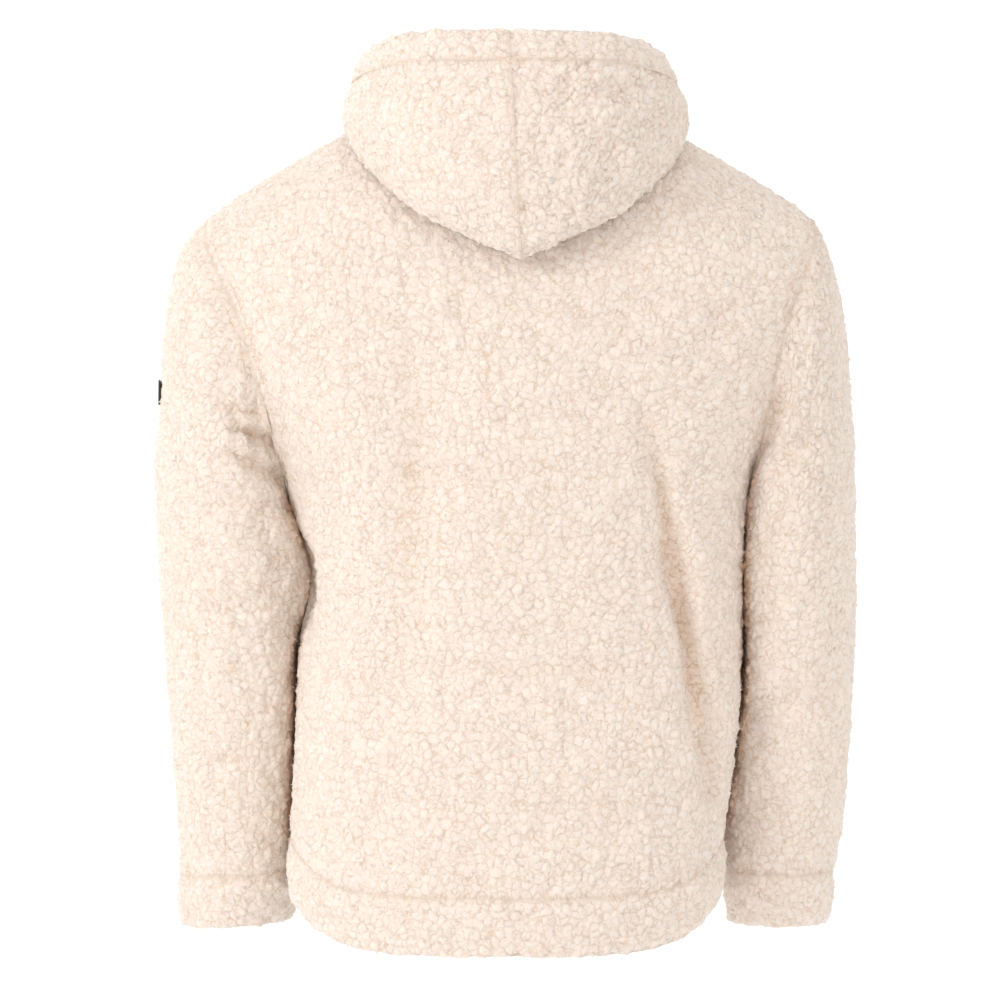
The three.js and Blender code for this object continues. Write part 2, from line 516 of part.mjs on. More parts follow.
function hoodPoints(start) {
  const bearing = Math.atan2(abs(start.x), -start.y) / degrees;
  const side = Math.sign(start.x) || 0;
  const heading = new THREE.Vector2(start.x, start.y).normalize();
  const wide = side < 0 ? hoodRightShare : 1;
  const backness = (1 - cos(bearing * degrees)) / 2;
  const place = (station) => {
    const r = hoodAt[`${station}R`](bearing);
    const z = hoodAt[`${station}Z`](bearing);
    return point(r * heading.x * wide + backness * hoodLean.perHeight * (z - hoodLean.level), r * heading.y, z);
  };
  const path = new THREE.CatmullRomCurve3([start, ...hoodStations.map(place)], false, "centripetal");
  const rows = steps(hoodRows).map((t) => path.getPoint(t));
  const cloth = rows.map((p, i) => (i ? liftOff(p, hoodClear * min((i + 1) / 3, 1)) : p));
  const seam = cloth.at(-1);
  const rim = place("rim");
  return { cloth, band: bandSection.map(({ share }) => seam.clone().lerp(rim, share)) };
}
const transposed = (columns) => columns[0].map((_, i) => columns.map((column) => column[i]));
// The neck edge, from the zip round to the middle of the back, anticlockwise from above on the wearer's left.
const neckEdge = (side) => [
  ...(side > 0 ? body.front_left.grid[0].slice(-neckSteps - 1).reverse() : body.front_right.grid[0].slice(0, neckSteps + 1)),
  ...(side > 0
    ? body.back.grid[0].slice(shoulderSteps + neckSteps, -shoulderSteps - 1).reverse()
    : body.back.grid[0].slice(shoulderSteps + 1, shoulderSteps + neckSteps + 1)),
];
// Behind the shoulders the hood spreads, so there it has a column between each two of the neck edge's as well.
const filled = (points) => points.flatMap((p, i) =>
  i && p.y > 1 ? [{ p: p.clone().lerp(points[i - 1], 0.5), between: true }, { p }] : [{ p }]);
function hoodPieces(side) {
  const word = side > 0 ? "left" : "right";
  const columns = filled(neckEdge(side)).map(({ p, between }) => ({ ...hoodPoints(p), between }));
  if (side < 0) columns.reverse();
  const middle = side > 0 ? "end" : "start";
  const between = columns.map((column) => column.between);
  return [
    { name: `hood_${word}`, group: "hood", grid: transposed(columns.map((c) => c.cloth)), between, rise: 0.4,
      sewn: ["top", "bottom", middle] },
    { name: `hood_band_${word}`, group: "hood_band", grid: transposed(columns.map((c) => c.band)),
      sewn: ["top", middle], band: true },
  ];
}
const hoods = [1, -1].flatMap(hoodPieces);

// ---------------------------------------------------------------- walls
const pieces = [...Object.values(body), hemBand, ...sleeves, ...cuffs, ...hoods];
for (const piece of pieces) piece.normals = outward(piece.grid, piece.closed);
shareDirections(pieces);
for (const piece of hoods.filter(({ between }) => between)) {
  const edge = piece.normals[0];
  piece.between.forEach((is, j) => {
    if (is) edge[j] = edge[j - 1].clone().lerp(edge[j + 1], 0.5);
  });
}
for (const piece of pieces) {
  const outer = piece.band ? bandSection.map((row) => row.proud) : piece.grid.map(() => 0);
  const inner = piece.band ? bandSection.map((row) => -row.inside) : piece.grid.map(() => -cloth);
  piece.geometry = wall(
    trimmed(layer(piece, outer), piece),
    trimmed(layer(piece, inner), piece),
    piece.closed,
  );
}

// ---------------------------------------------------------------- zip
const zipTop = -neck.frontDrop - zip.topDrop;
const zipBottom = hemHeight({ face: "front", across: 0 }, "fold") + zip.aboveFold;
const besideZip = (side) => [neckColumn("front", side, 0), neckColumn("front", side, 1 / neckSteps)];
function zipSurface(x, z) {
  const [near, next] = besideZip(x < 0 ? -1 : 1).map((top) => bodyPoint(top, z));
  return point(x, lerp(near.y, next.y, (x - near.x) / (next.x - near.x)), z);
}
const zipLean = (z) => (zipSurface(frontEdge, z - 4).y - zipSurface(frontEdge, z + 4).y) / 8;
function inZip(x, z, depth) {
  const lean = zipLean(z);
  return zipSurface(x, z).addScaledVector(point(0, 1, lean).normalize(), depth);
}
// A strip along the zip, between two heights, with its columns from the wearer's left to right.
function strip(top, bottom, xs, front, back) {
  const heights = steps(zip.rows).map((t) => lerp(top, bottom, t));
  const face = (depth) => heights.map((z) => xs.map((x) => inZip(x, z, depth)));
  return wall(face(front), face(back), false);
}
const boxTop = zipBottom + zipBox.height;
const tapeGeometry = (xs) =>
  strip(zipTop - tape.topDrop, boxTop + seamGap, xs, tape.depth, tape.depth + tape.thick);
const tapeLeft = tapeGeometry([tape.outer, (tape.outer + tape.inner) / 2, tape.inner]);
const tapeRight = tapeGeometry([-tape.inner, -(tape.outer + tape.inner) / 2, -tape.outer]);
const chainGeometry = strip(zipTop - chain.topDrop, boxTop + seamGap, [chain.half, -chain.half], chain.front, chain.back);

const wasm = await Module();
wasm.setup();
function solid(geometry) {
  const bare = geometry.clone();
  bare.deleteAttribute("normal");
  bare.deleteAttribute("uv");
  const merged = mergeVertices(bare, 1e-4);
  return new wasm.Manifold(new wasm.Mesh({
    numProp: 3,
    vertProperties: new Float32Array(merged.attributes.position.array),
    triVerts: new Uint32Array(merged.index.array),
  }));
}
function joined(geometries) {
  const mesh = geometries.map(solid).reduce((sum, piece) => sum.add(piece)).getMesh();
  return meshGeometry(Array.from(mesh.vertProperties), Array.from(mesh.triVerts));
}
// A block in the slider's own frame: across, inwards from the cloth's face, and up.
function block(half, front, back, low, high) {
  const box = new THREE.BoxGeometry(2 * half, back - front, high - low);
  return box.translate(0, (front + back) / 2, (low + high) / 2);
}
// An outline drawn in (inwards, up) or in (across, up), given a thickness.
function arch() {
  const half = crown.length / 2;
  const outline = new THREE.Shape([
    new THREE.Vector2(slider.front + 0.4, -half),
    new THREE.Vector2(slider.front + 0.4, half),
    new THREE.Vector2(slider.front, half),
    new THREE.Vector2(slider.front - crown.rise, half - crown.thick),
    new THREE.Vector2(slider.front - crown.rise, -half + crown.thick),
    new THREE.Vector2(slider.front, -half),
  ]);
  const hole = new THREE.Path([
    new THREE.Vector2(slider.front, half - crown.thick),
    new THREE.Vector2(slider.front, -half + crown.thick),
    new THREE.Vector2(slider.front - crown.rise + crown.thick, -half + 1.5 * crown.thick),
    new THREE.Vector2(slider.front - crown.rise + crown.thick, half - 1.5 * crown.thick),
  ]);
  outline.holes.push(hole);
  const geometry = new THREE.ExtrudeGeometry(outline, { depth: 2 * crown.half, bevelEnabled: false, steps: 1 });
  // the outline's x is inwards (Y) and its y is up (Z); the extrusion runs across (X)
  const turn = new THREE.Matrix4().makeBasis(point(0, 1, 0), point(0, 0, 1), point(1, 0, 0));
  return geometry.applyMatrix4(turn).translate(-crown.half, 0, 0);
}
const sliderGeometry = joined([
  block(slider.half, slider.front, slider.frontIn, -slider.length / 2, slider.length / 2),
  block(slider.half, slider.backIn, slider.back, -slider.length / 2, slider.length / 2),
  block(tape.inner - seamGap, slider.front, slider.back, slider.length / 2 - slider.nose, slider.length / 2),
  arch(),
]);

const hinge = {
  depth: slider.front - (crown.rise - crown.thick) / 2,
  up: -crown.length / 2 + crown.thick + pull.bar + pull.clear + 0.3,
};
function pullGeometry() {
  const outline = new THREE.Shape();
  const corner = 1.2;
  const low = pull.bar - pull.length;
  outline.moveTo(-pull.half, pull.bar);
  outline.lineTo(-pull.half, low + corner);
  outline.quadraticCurveTo(-pull.half, low, -pull.half + corner, low);
  outline.lineTo(pull.half - corner, low);
  outline.quadraticCurveTo(pull.half, low, pull.half, low + corner);
  outline.lineTo(pull.half, pull.bar);
  const inside = pull.half - pull.arm;
  outline.holes.push(new THREE.Path([
    new THREE.Vector2(-inside, -pull.bar),
    new THREE.Vector2(inside, -pull.bar),
    new THREE.Vector2(inside, -pull.window),
    new THREE.Vector2(-inside, -pull.window),
  ]));
  const plate = new THREE.ExtrudeGeometry(outline, { depth: pull.thick, bevelEnabled: false, curveSegments: 4 });
  // the outline's y is up (Z); the extrusion runs outwards (-Y)
  return plate.rotateX(PI / 2).translate(0, pull.thick / 2, 0);
}
const sliderHeight = zipTop - slider.length / 2;
const sliderFrame = new THREE.Group();
sliderFrame.position.copy(zipSurface(0, sliderHeight));
sliderFrame.rotation.x = Math.atan(zipLean(sliderHeight));
const boxGeometry = block(zipBox.half, zipBox.front, zipBox.back, 0, zipBox.height);
const boxFrame = new THREE.Group();
boxFrame.position.copy(zipSurface(0, zipBottom));
boxFrame.rotation.x = Math.atan(zipLean(zipBottom + 4));

// ---------------------------------------------------------------- patch
function patchGeometry() {
  const sleeve = sleeves[0];
  const place = (list, c) => {
    const low = Math.floor(c);
    const at = (k) => list[(k + ringPoints) % ringPoints];
    return at(low).clone().lerp(at(low + 1), c - low);
  };
  const step = 360 / ringPoints;
  const columns = [-patch.turnBack / step, 0, 1, 2, -patch.turnFront / step];
  const spot = (c, z) => {
    const i = sleeve.grid.findIndex((_, row) => place(sleeve.grid[row + 1], c).z < z);
    const above = place(sleeve.grid[i], c);
    const below = place(sleeve.grid[i + 1], c);
    const t = (above.z - z) / (above.z - below.z);
    const n = place(sleeve.normals[i], c).lerp(place(sleeve.normals[i + 1], c), t).normalize();
    return { p: above.lerp(below, t), n };
  };
  const face = (distance) => steps(4).map((t) => columns.map((c) => {
    const { p, n } = spot(c, lerp(patch.top, patch.bottom, t));
    return p.addScaledVector(n, distance);
  }));
  return wall(face(patch.off + patch.thick), face(patch.off), false);
}

// ---------------------------------------------------------------- the garment
const fleece = (color) => new THREE.MeshStandardMaterial({ color, roughness: 1, metalness: 0 });
const cream = fleece(0xf3e4d5);
const woven = new THREE.MeshStandardMaterial({ color: 0xe7d8c5, roughness: 0.85, metalness: 0 });
const resin = new THREE.MeshStandardMaterial({ color: 0xe9dcc8, roughness: 0.45, metalness: 0 });
const metal = new THREE.MeshStandardMaterial({ color: 0xb9b7b2, roughness: 0.3, metalness: 1 });
const dark = new THREE.MeshStandardMaterial({ color: 0x4d4743, roughness: 0.8, metalness: 0 });
function named(name, geometry, material) {
  geometry.computeVertexNormals();
  const mesh = new THREE.Mesh(geometry, material);
  mesh.name = name;
  return mesh;
}

const garment = new THREE.Group();
for (const piece of pieces) garment.add(named(piece.name, piece.geometry, cream));
garment.add(
  named("zip_tape_left", tapeLeft, woven),
  named("zip_tape_right", tapeRight, woven),
  named("zip_chain", chainGeometry, resin),
  named("sleeve_patch", patchGeometry(), dark),
);
const pullTab = named("zip_pull", pullGeometry(), metal);
pullTab.position.set(0, hinge.depth, hinge.up);
sliderFrame.add(named("zip_slider", sliderGeometry, metal), pullTab);
boxFrame.add(named("zip_box", boxGeometry, resin));
garment.add(sliderFrame, boxFrame);

export default garment;
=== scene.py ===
# %% [markdown]
# # A cream pile-fleece zip hoodie
# The solids of the garment are already packed, and this notebook dresses them. On the real garment every piece is
# one thickness of knitted cloth with curly pile standing on it, so each solid is replaced by a thin closed shell of
# the same form. The shell's outer face is then pushed into clumps and cracks, and the small hard parts of the zip
# keep their solids and get finer finishes.

# %% Load the solids
import math
from functools import partial

import bmesh
import bpy
import numpy as np
from mathutils import Matrix, Vector, kdtree
from mathutils.bvhtree import BVHTree


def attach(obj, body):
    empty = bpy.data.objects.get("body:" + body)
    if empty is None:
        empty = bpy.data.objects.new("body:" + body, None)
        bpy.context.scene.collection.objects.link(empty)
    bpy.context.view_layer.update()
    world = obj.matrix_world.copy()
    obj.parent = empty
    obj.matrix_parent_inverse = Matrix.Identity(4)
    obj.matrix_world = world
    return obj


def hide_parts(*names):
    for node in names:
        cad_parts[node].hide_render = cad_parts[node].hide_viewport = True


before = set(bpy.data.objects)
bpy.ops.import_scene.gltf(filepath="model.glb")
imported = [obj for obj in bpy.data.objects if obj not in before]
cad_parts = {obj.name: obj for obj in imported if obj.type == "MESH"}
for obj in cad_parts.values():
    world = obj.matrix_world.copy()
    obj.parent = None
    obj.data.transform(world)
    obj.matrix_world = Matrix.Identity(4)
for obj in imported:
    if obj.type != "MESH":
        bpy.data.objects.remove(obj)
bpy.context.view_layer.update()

mm = 0.001

# %% [markdown]
# ## Helpers
# Objects, meshes and node trees are made in the same few steps all through, so those steps are functions.

# %% Objects and meshes
def placed(name, data):
    """An object with this name and data, linked into the scene."""
    thing = bpy.data.objects.new(name, data)
    bpy.context.scene.collection.objects.link(thing)
    return thing


def mesh_from(builder, name):
    """A mesh of what the builder holds."""
    mesh = bpy.data.meshes.new(name)
    builder.to_mesh(mesh)
    builder.free()
    return mesh


def evaluated(thing):
    """A new mesh with the object's modifiers applied."""
    bpy.context.view_layer.update()
    return bpy.data.meshes.new_from_object(thing.evaluated_get(bpy.context.evaluated_depsgraph_get()))


def settle(piece):
    """Puts what the modifiers make of a piece's mesh in the mesh's place."""
    whole, old = evaluated(piece), piece.data
    piece.modifiers.clear()
    piece.data = whole
    bpy.data.meshes.remove(old)
    whole.name = piece.name
    return whole


def subdivide(thing, levels):
    """Adds a subdivision to an object."""
    surface = thing.modifiers.new("round", "SUBSURF")
    surface.levels = surface.render_levels = levels


def triangles(mesh):
    """How many triangles a mesh has."""
    mesh.calc_loop_triangles()
    return len(mesh.loop_triangles)


def place_tree(places):
    """A search tree over places."""
    tree = kdtree.KDTree(len(places))
    for i, place in enumerate(places):
        tree.insert(place, i)
    tree.balance()
    return tree


# %% Nodes
def feed(tree, target, value):
    """Links an input to another node's output, or sets it to a plain value."""
    if isinstance(value, bpy.types.NodeSocket):
        tree.links.new(value, target)
    else:
        target.default_value = value


def lay(tree, kind, inputs=None, **settings):
    """Adds a node with its settings, and feeds its inputs, given by name or number."""
    node = tree.nodes.new(kind)
    for key, value in settings.items():
        setattr(node, key, value)
    for key, value in (inputs or {}).items():
        feed(tree, node.inputs[key], value)
    return node


def calculate(tree, operation, *values, clamp=False):
    """The result of a calculation on numbers or outputs."""
    return lay(tree, "ShaderNodeMath", dict(enumerate(values)), operation=operation, use_clamp=clamp).outputs[0]


def calculate_vector(tree, operation, *values):
    """The result of a calculation on vectors."""
    return lay(tree, "ShaderNodeVectorMath", dict(enumerate(values)), operation=operation).outputs[0]


def new_tree(kind, name, takes, gives):
    """A tree with sockets of (name, kind) or (name, kind, value). Gives it, its ends and its inputs' identifiers."""
    tree = bpy.data.node_groups.new(name, kind)
    inputs = {}
    for direction, rows in (("INPUT", takes), ("OUTPUT", gives)):
        for label, sort, *value in rows:
            made = tree.interface.new_socket(name=label, in_out=direction, socket_type="NodeSocket" + sort)
            if value:
                made.default_value = value[0]
            if direction == "INPUT":
                inputs[label] = made.identifier
    return tree, lay(tree, "NodeGroupInput"), lay(tree, "NodeGroupOutput"), inputs


def run_tree(piece, tree, inputs, values):
    """Puts a geometry tree on a piece, with these values."""
    modifier = piece.modifiers.new(tree.name, "NODES")
    modifier.node_group = tree
    for key, value in values.items():
        modifier[inputs[key]] = value


def new_finish(name, looks):
    """A material with these values on its shader. Gives the material, its tree and the shader."""
    material = bpy.data.materials.new(name)
    material.use_nodes = True
    shader = material.node_tree.nodes["Principled BSDF"]
    for key, value in looks.items():
        shader.inputs[key].default_value = value
    return material, material.node_tree, shader


# %% [markdown]
# ## Camera
# The garment is seen from behind and level, from three metres off, so that it has almost no perspective. A long
# lens does that: 125 mm on a 36 mm wide sensor.

# %% Camera
camera_data = bpy.data.cameras.new("camera")
camera_data.lens = 125.58
camera_data.sensor_width = 36.0
camera = placed("camera", camera_data)
camera.location = (8.6 * mm, 3.0, -345 * mm)
camera.rotation_euler = (math.radians(90), 0, math.radians(180))
bpy.context.scene.camera = camera
print("camera looks along -Y from", tuple(round(c, 3) for c in camera.location))

# %% [markdown]
# ## Studio
# A pale garment on a pale ground needs light from nearly everywhere, as from a white room, so the world is white. One
# large lamp on the wearer's left, behind and above, gives the folds a bright and a shaded side. The floor is where
# the feet of a standing wearer would be.

# %% Studio
standing_height = 1.45
floor_builder = bmesh.new()
bmesh.ops.create_circle(floor_builder, cap_ends=True, radius=14, segments=64)
floor_mesh = mesh_from(floor_builder, "floor")
floor_mesh.transform(Matrix.Translation((0, 0, -standing_height)))
floor = placed("floor", floor_mesh)
floor_mesh.materials.append(new_finish("pale floor", {"Base Color": (0.97, 0.97, 0.97, 1), "Roughness": 0.9})[0])

world = bpy.data.worlds.new("white room")
world.use_nodes = True
background = world.node_tree.nodes["Background"]
background.inputs["Color"].default_value = (1, 1, 1, 1)
background.inputs["Strength"].default_value = 1.12
bpy.context.scene.world = world
bpy.context.scene.view_settings.view_transform = "Standard"


def softbox(name, place, aim, size, power):
    """A square lamp at place, turned to aim."""
    data = bpy.data.lights.new(name, "AREA")
    data.size = size
    data.energy = power
    lamp = placed(name, data)
    lamp.location = place
    lamp.rotation_euler = (Vector(aim) - Vector(place)).to_track_quat("-Z", "Y").to_euler()


softbox("key lamp", (2.2, 2.0, 0.85), (0, 0, -0.35), 0.8, 29)
softbox("front lamp", (1.4, -2.8, 0.9), (0, 0, -0.35), 1.4, 38)

# %% [markdown]
# ## From a solid to cloth
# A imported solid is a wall: an outer skin, an inner skin and the narrow edges between them. An edge that is sewn lies
# against its neighbour, so closeness finds those faces. The two skins are sheets of faces that bend gently, so a flood
# fill that stops at sharp corners finds them, and the larger is the outside. Subdivision then rounds the wall, with
# its corners held by creases.

# %% The pieces of fleece and their search trees
COVER, EDGE, LINING = 0, 1, 2
touching = 0.9 * mm
same_corner = 0.01 * mm
fleece_names = [
    "back", "front_left", "front_right", "hem_band", "sleeve_left", "sleeve_right", "cuff_left", "cuff_right",
    "hood_left", "hood_right", "hood_band_left", "hood_band_right",
]


def solid_tree(names):
    """One search tree over the faces of the named solids."""
    places, faces = [], []
    for name in names:
        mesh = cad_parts[name].data
        start = len(places)
        places += [v.co.copy() for v in mesh.vertices]
        faces += [[start + i for i in face.vertices] for face in mesh.polygons]
    return BVHTree.FromPolygons(places, faces)


neighbours = {name: solid_tree([n for n in fleece_names if n != name]) for name in fleece_names}
print("search trees:", len(neighbours))


# %% Find the skins of a wall
def skins(builder, neighbour):
    """Marks each face by its material index: the cover, the lining or an edge between them."""

    def lies_against(face):
        places = [face.calc_center_median()] + [v.co for v in face.verts]
        return all(neighbour.find_nearest(place)[3] < touching for place in places)

    sewn = {face for face in builder.faces if lies_against(face)}
    most_of_wall = 0.62
    for limit in (50, 42, 35, 28):
        found = []
        unseen = set(builder.faces) - sewn
        while unseen:
            start = unseen.pop()
            reached = [start]
            for face in reached:
                for edge in face.edges:
                    if edge.calc_face_angle(0) > math.radians(limit):
                        continue
                    for other in edge.link_faces:
                        if other in unseen:
                            unseen.remove(other)
                            reached.append(other)
            found.append((sum(f.calc_area() for f in reached), reached))
        found.sort(key=lambda row: -row[0])
        whole = sum(area for area, _ in found)
        if found[0][0] < most_of_wall * whole:
            break
    for face in sewn:
        face.material_index = EDGE
    for rank, (_, faces) in enumerate(found):
        for face in faces:
            face.material_index = (COVER, LINING)[rank] if rank < 2 else EDGE
    return found[0][0]


def welded(name):
    """The solid's faces with their shared corners joined."""
    builder = bmesh.new()
    builder.from_mesh(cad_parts[name].data)
    bmesh.ops.remove_doubles(builder, verts=builder.verts, dist=same_corner)
    return builder


def in_quads(name):
    """The welded solid with its skins marked, in quads where two triangles make one, and the cover's area."""
    builder = welded(name)
    builder.verts.index_update()
    area = skins(builder, neighbours[name])
    bmesh.ops.join_triangles(
        builder,
        faces=builder.faces,
        cmp_materials=True,
        angle_face_threshold=math.radians(60),
        angle_shape_threshold=math.radians(75),
    )
    return builder, area


# %% Round a wall and step its faces finely
def rounded(builder, name, levels, open_crease):
    """A smooth mesh of the wall, its corners held where the skins meet."""
    crease = builder.edges.layers.float.new("crease_edge")
    for edge in builder.edges:
        kinds = {face.material_index for face in edge.link_faces}
        if len(kinds) > 1 or edge.calc_face_angle(0) > math.radians(60):
            edge[crease] = 1.0 if all(v.index in sewn_corners[name] for v in edge.verts) else open_crease
    lump = placed(name + "_rough", mesh_from(builder, name))
    subdivide(lump, levels)
    smooth, mesh = evaluated(lump), lump.data
    bpy.data.objects.remove(lump)
    bpy.data.meshes.remove(mesh)
    return smooth


def stepped(mesh, passes, kinds):
    """Cuts the long edges of the faces that carry pile, until they are about two millimetres."""
    builder = bmesh.new()
    builder.from_mesh(mesh)
    for longest, cuts in passes:
        edges = {
            edge
            for face in builder.faces
            if face.material_index in kinds
            for edge in face.edges
            if edge.calc_length() > longest
        }
        bmesh.ops.subdivide_edges(builder, edges=list(edges), cuts=cuts, use_grid_fill=True)
    for edge in builder.edges:
        edge.smooth = len({face.material_index for face in edge.link_faces}) == 1
    builder.to_mesh(mesh)
    builder.free()
    return mesh


# %% Which corners of a wall are sewn to a neighbour
sewn_to = 2.2 * mm


def corners_of(name):
    """Every welded corner of the solid."""
    builder = welded(name)
    places = np.array([v.co[:] for v in builder.verts])
    builder.free()
    return places


corners = {name: corners_of(name) for name in fleece_names}
sewn_corners = {}
for name in fleece_names:
    tree = place_tree(np.concatenate([corners[other] for other in fleece_names if other != name]))
    sewn_corners[name] = {i for i, place in enumerate(corners[name]) if tree.find(place)[2] < sewn_to}
print("sewn corners:", {name: len(found) for name, found in sewn_corners.items()})

# %% [markdown]
# ## Creases given one by one
# The solids already carry the deep folds. Cloth this thick has few others, and they are soft: shallow troughs with a
# faint swelling beside them. Each is a path from point to point in millimetres, with its width and its depth at each
# end. The ones on the front are like those on the back, because the same wearer bends both.

# %% Creases
# (side, path of (across, height) points, half width, depth at the start, at the middle and at the end)
body_creases = [
    ("back", [(-112, -275), (-126, -330), (-137, -400), (-149, -460), (-163, -540), (-170, -592)], 8.5, 2.5, 12.0, 5.0),
    ("back", [(86, -165), (78, -240), (78, -330), (86, -430), (94, -510)], 19, 1.0, 4.0, 1.5),
    ("back", [(48, -168), (38, -188), (33, -208)], 7, 0.8, 3.2, 0.8),
    ("back", [(150, -318), (60, -322), (-20, -318), (-90, -324)], 9, 0.4, 2.6, 0.8),
    ("back", [(95, -388), (20, -376), (-60, -372), (-100, -374)], 8, 0.6, 2.4, 0.6),
    ("back", [(70, -478), (0, -486), (-80, -482), (-118, -478)], 9, 0.5, 2.8, 0.6),
    ("back", [(150, -560), (70, -566), (20, -560)], 9, 0.4, 2.2, 0.4),
    ("back", [(-40, -590), (-100, -598), (-140, -604)], 9, 0.3, 2.2, 0.6),
    ("back", [(172, -300), (154, -345), (142, -400)], 10, 1.2, 3.2, 0.6),
    ("back", [(-200, -165), (-176, -190), (-156, -232)], 10, 1.0, 3.4, 0.8),
    ("back", [(-56, -198), (-96, -192), (-140, -172)], 9, 0.6, 2.6, 0.8),
    ("front", [(118, -262), (136, -360), (154, -480), (160, -570)], 10, 1.0, 5.0, 1.0),
    ("front", [(-112, -280), (-134, -380), (-148, -500), (-154, -580)], 10, 1.0, 5.0, 1.0),
    ("front", [(40, -300), (90, -312), (140, -300)], 9, 0.5, 2.6, 0.5),
    ("front", [(-36, -390), (-90, -400), (-130, -390)], 9, 0.5, 2.6, 0.5),
    ("front", [(36, -520), (84, -530), (130, -520)], 9, 0.4, 2.4, 0.4),
]
right_inner_side = [(-212, -322), (-204, -359), (-196, -396), (-186, -470), (-179, -560), (-181, -622)]
sleeve_creases = [
    ("left", [(250, -258), (234, -268), (214, -274)], 5, 1.5, 5.5, 4.0),
    ("left", [(242, -282), (222, -286), (200, -298)], 5.5, 2.5, 9.0, 7.0),
    ("left", [(248, -304), (228, -308), (202, -322)], 6, 1.5, 6.5, 5.0),
    ("left", [(262, -352), (236, -344), (208, -354)], 8, 0.5, 3.0, 1.6),
    ("left", [(286, -430), (250, -438), (206, -426)], 9, 0.5, 2.6, 1.0),
    ("left", [(280, -560), (240, -566), (200, -552)], 9, 0.4, 2.2, 0.8),
    ("left", [(196, -322), (188, -359), (181, -384), (174, -413), (170, -440)], 10, -2.0, -8.0, -3.0),
    ("left", [(170, -440), (168, -500), (168, -562), (175, -625)], 9, -3.0, -3.5, -1.5),
    ("right", [(-246, -232), (-228, -262), (-216, -300)], 8, 1.0, 4.4, 1.8),
    ("right", [(-284, -285), (-256, -292), (-226, -310)], 8, 0.6, 3.4, 1.4),
    ("right", [(-290, -380), (-250, -388), (-214, -378)], 9, 0.5, 2.6, 0.9),
    ("right", [(-284, -520), (-246, -512), (-208, -524)], 9, 0.5, 2.6, 0.9),
    ("right", right_inner_side, 10, -6.0, -6.5, -3.0),
]
hood_creases = [
    ("back", [(34, -2), (70, -10), (110, -2), (136, 12)], 9, 0.5, 2.2, 0.6),
    ("back", [(-16, -8), (-50, -18), (-96, -8), (-128, 8)], 11, 1.0, 4.2, 1.4),
    ("back", [(-60, -34), (-80, -60), (-86, -92)], 10, 0.6, 3.0, 0.6),
]

swelling, swelling_at = 0.28, 2.1  # beside a crease: its share of the depth, and its place in half widths
wander_share, wander_rate = 0.25, 17  # how much a crease's width varies, and how fast along it


def crease_depth(points, path, half_width, start, middle, end):
    """How far a crease presses in each point, by its distance from the path across and up."""
    line = np.array(path, float) * mm
    legs = np.linalg.norm(np.diff(line, axis=0), axis=1)
    travelled = np.concatenate([[0], np.cumsum(legs)])
    best = np.full(len(points), 1e9)
    share = np.zeros(len(points))
    for i, leg in enumerate(legs):
        along = (line[i + 1] - line[i]) / leg
        ahead = np.clip((points - line[i]) @ along, 0, leg)
        away = np.linalg.norm(points - line[i] - ahead[:, None] * along, axis=1)
        nearer = away < best
        best[nearer] = away[nearer]
        share[nearer] = (travelled[i] + ahead[nearer]) / travelled[-1]
    depth = np.interp(share, [0, 0.5, 1], [start, middle, end]) * mm
    wander = 1 + wander_share * np.sin(share * wander_rate + path[0][0])
    far = best / (half_width * wander * mm)
    return depth * (np.exp(-(far**2)) - swelling * np.exp(-((far - swelling_at) ** 2)))


def pressed_in(places, creases, kind, split):
    """The sum of the creases that lie on each point's own side."""
    total = np.zeros(len(places))
    for side, path, half_width, start, middle, end in creases:
        if kind is not None and side != kind:
            continue
        depth = crease_depth(places[:, [0, 2]], path, half_width, start, middle, end)
        faces_it = places[:, 1] > split if side != "front" else places[:, 1] < -split
        total += depth * faces_it
    return total


print("creases:", len(body_creases) + len(sleeve_creases) + len(hood_creases))

# %% [markdown]
# ## Pile
# Curly pile mats into rounded clumps about as wide as a fingertip's half, with thin cracks between some of them. Cells
# of a Voronoi pattern are that shape, and the distance to a cell's border says how near a crack is. The same pattern
# has to move the surface and colour it, so one function lays the same nodes in a geometry tree and in a shader tree.

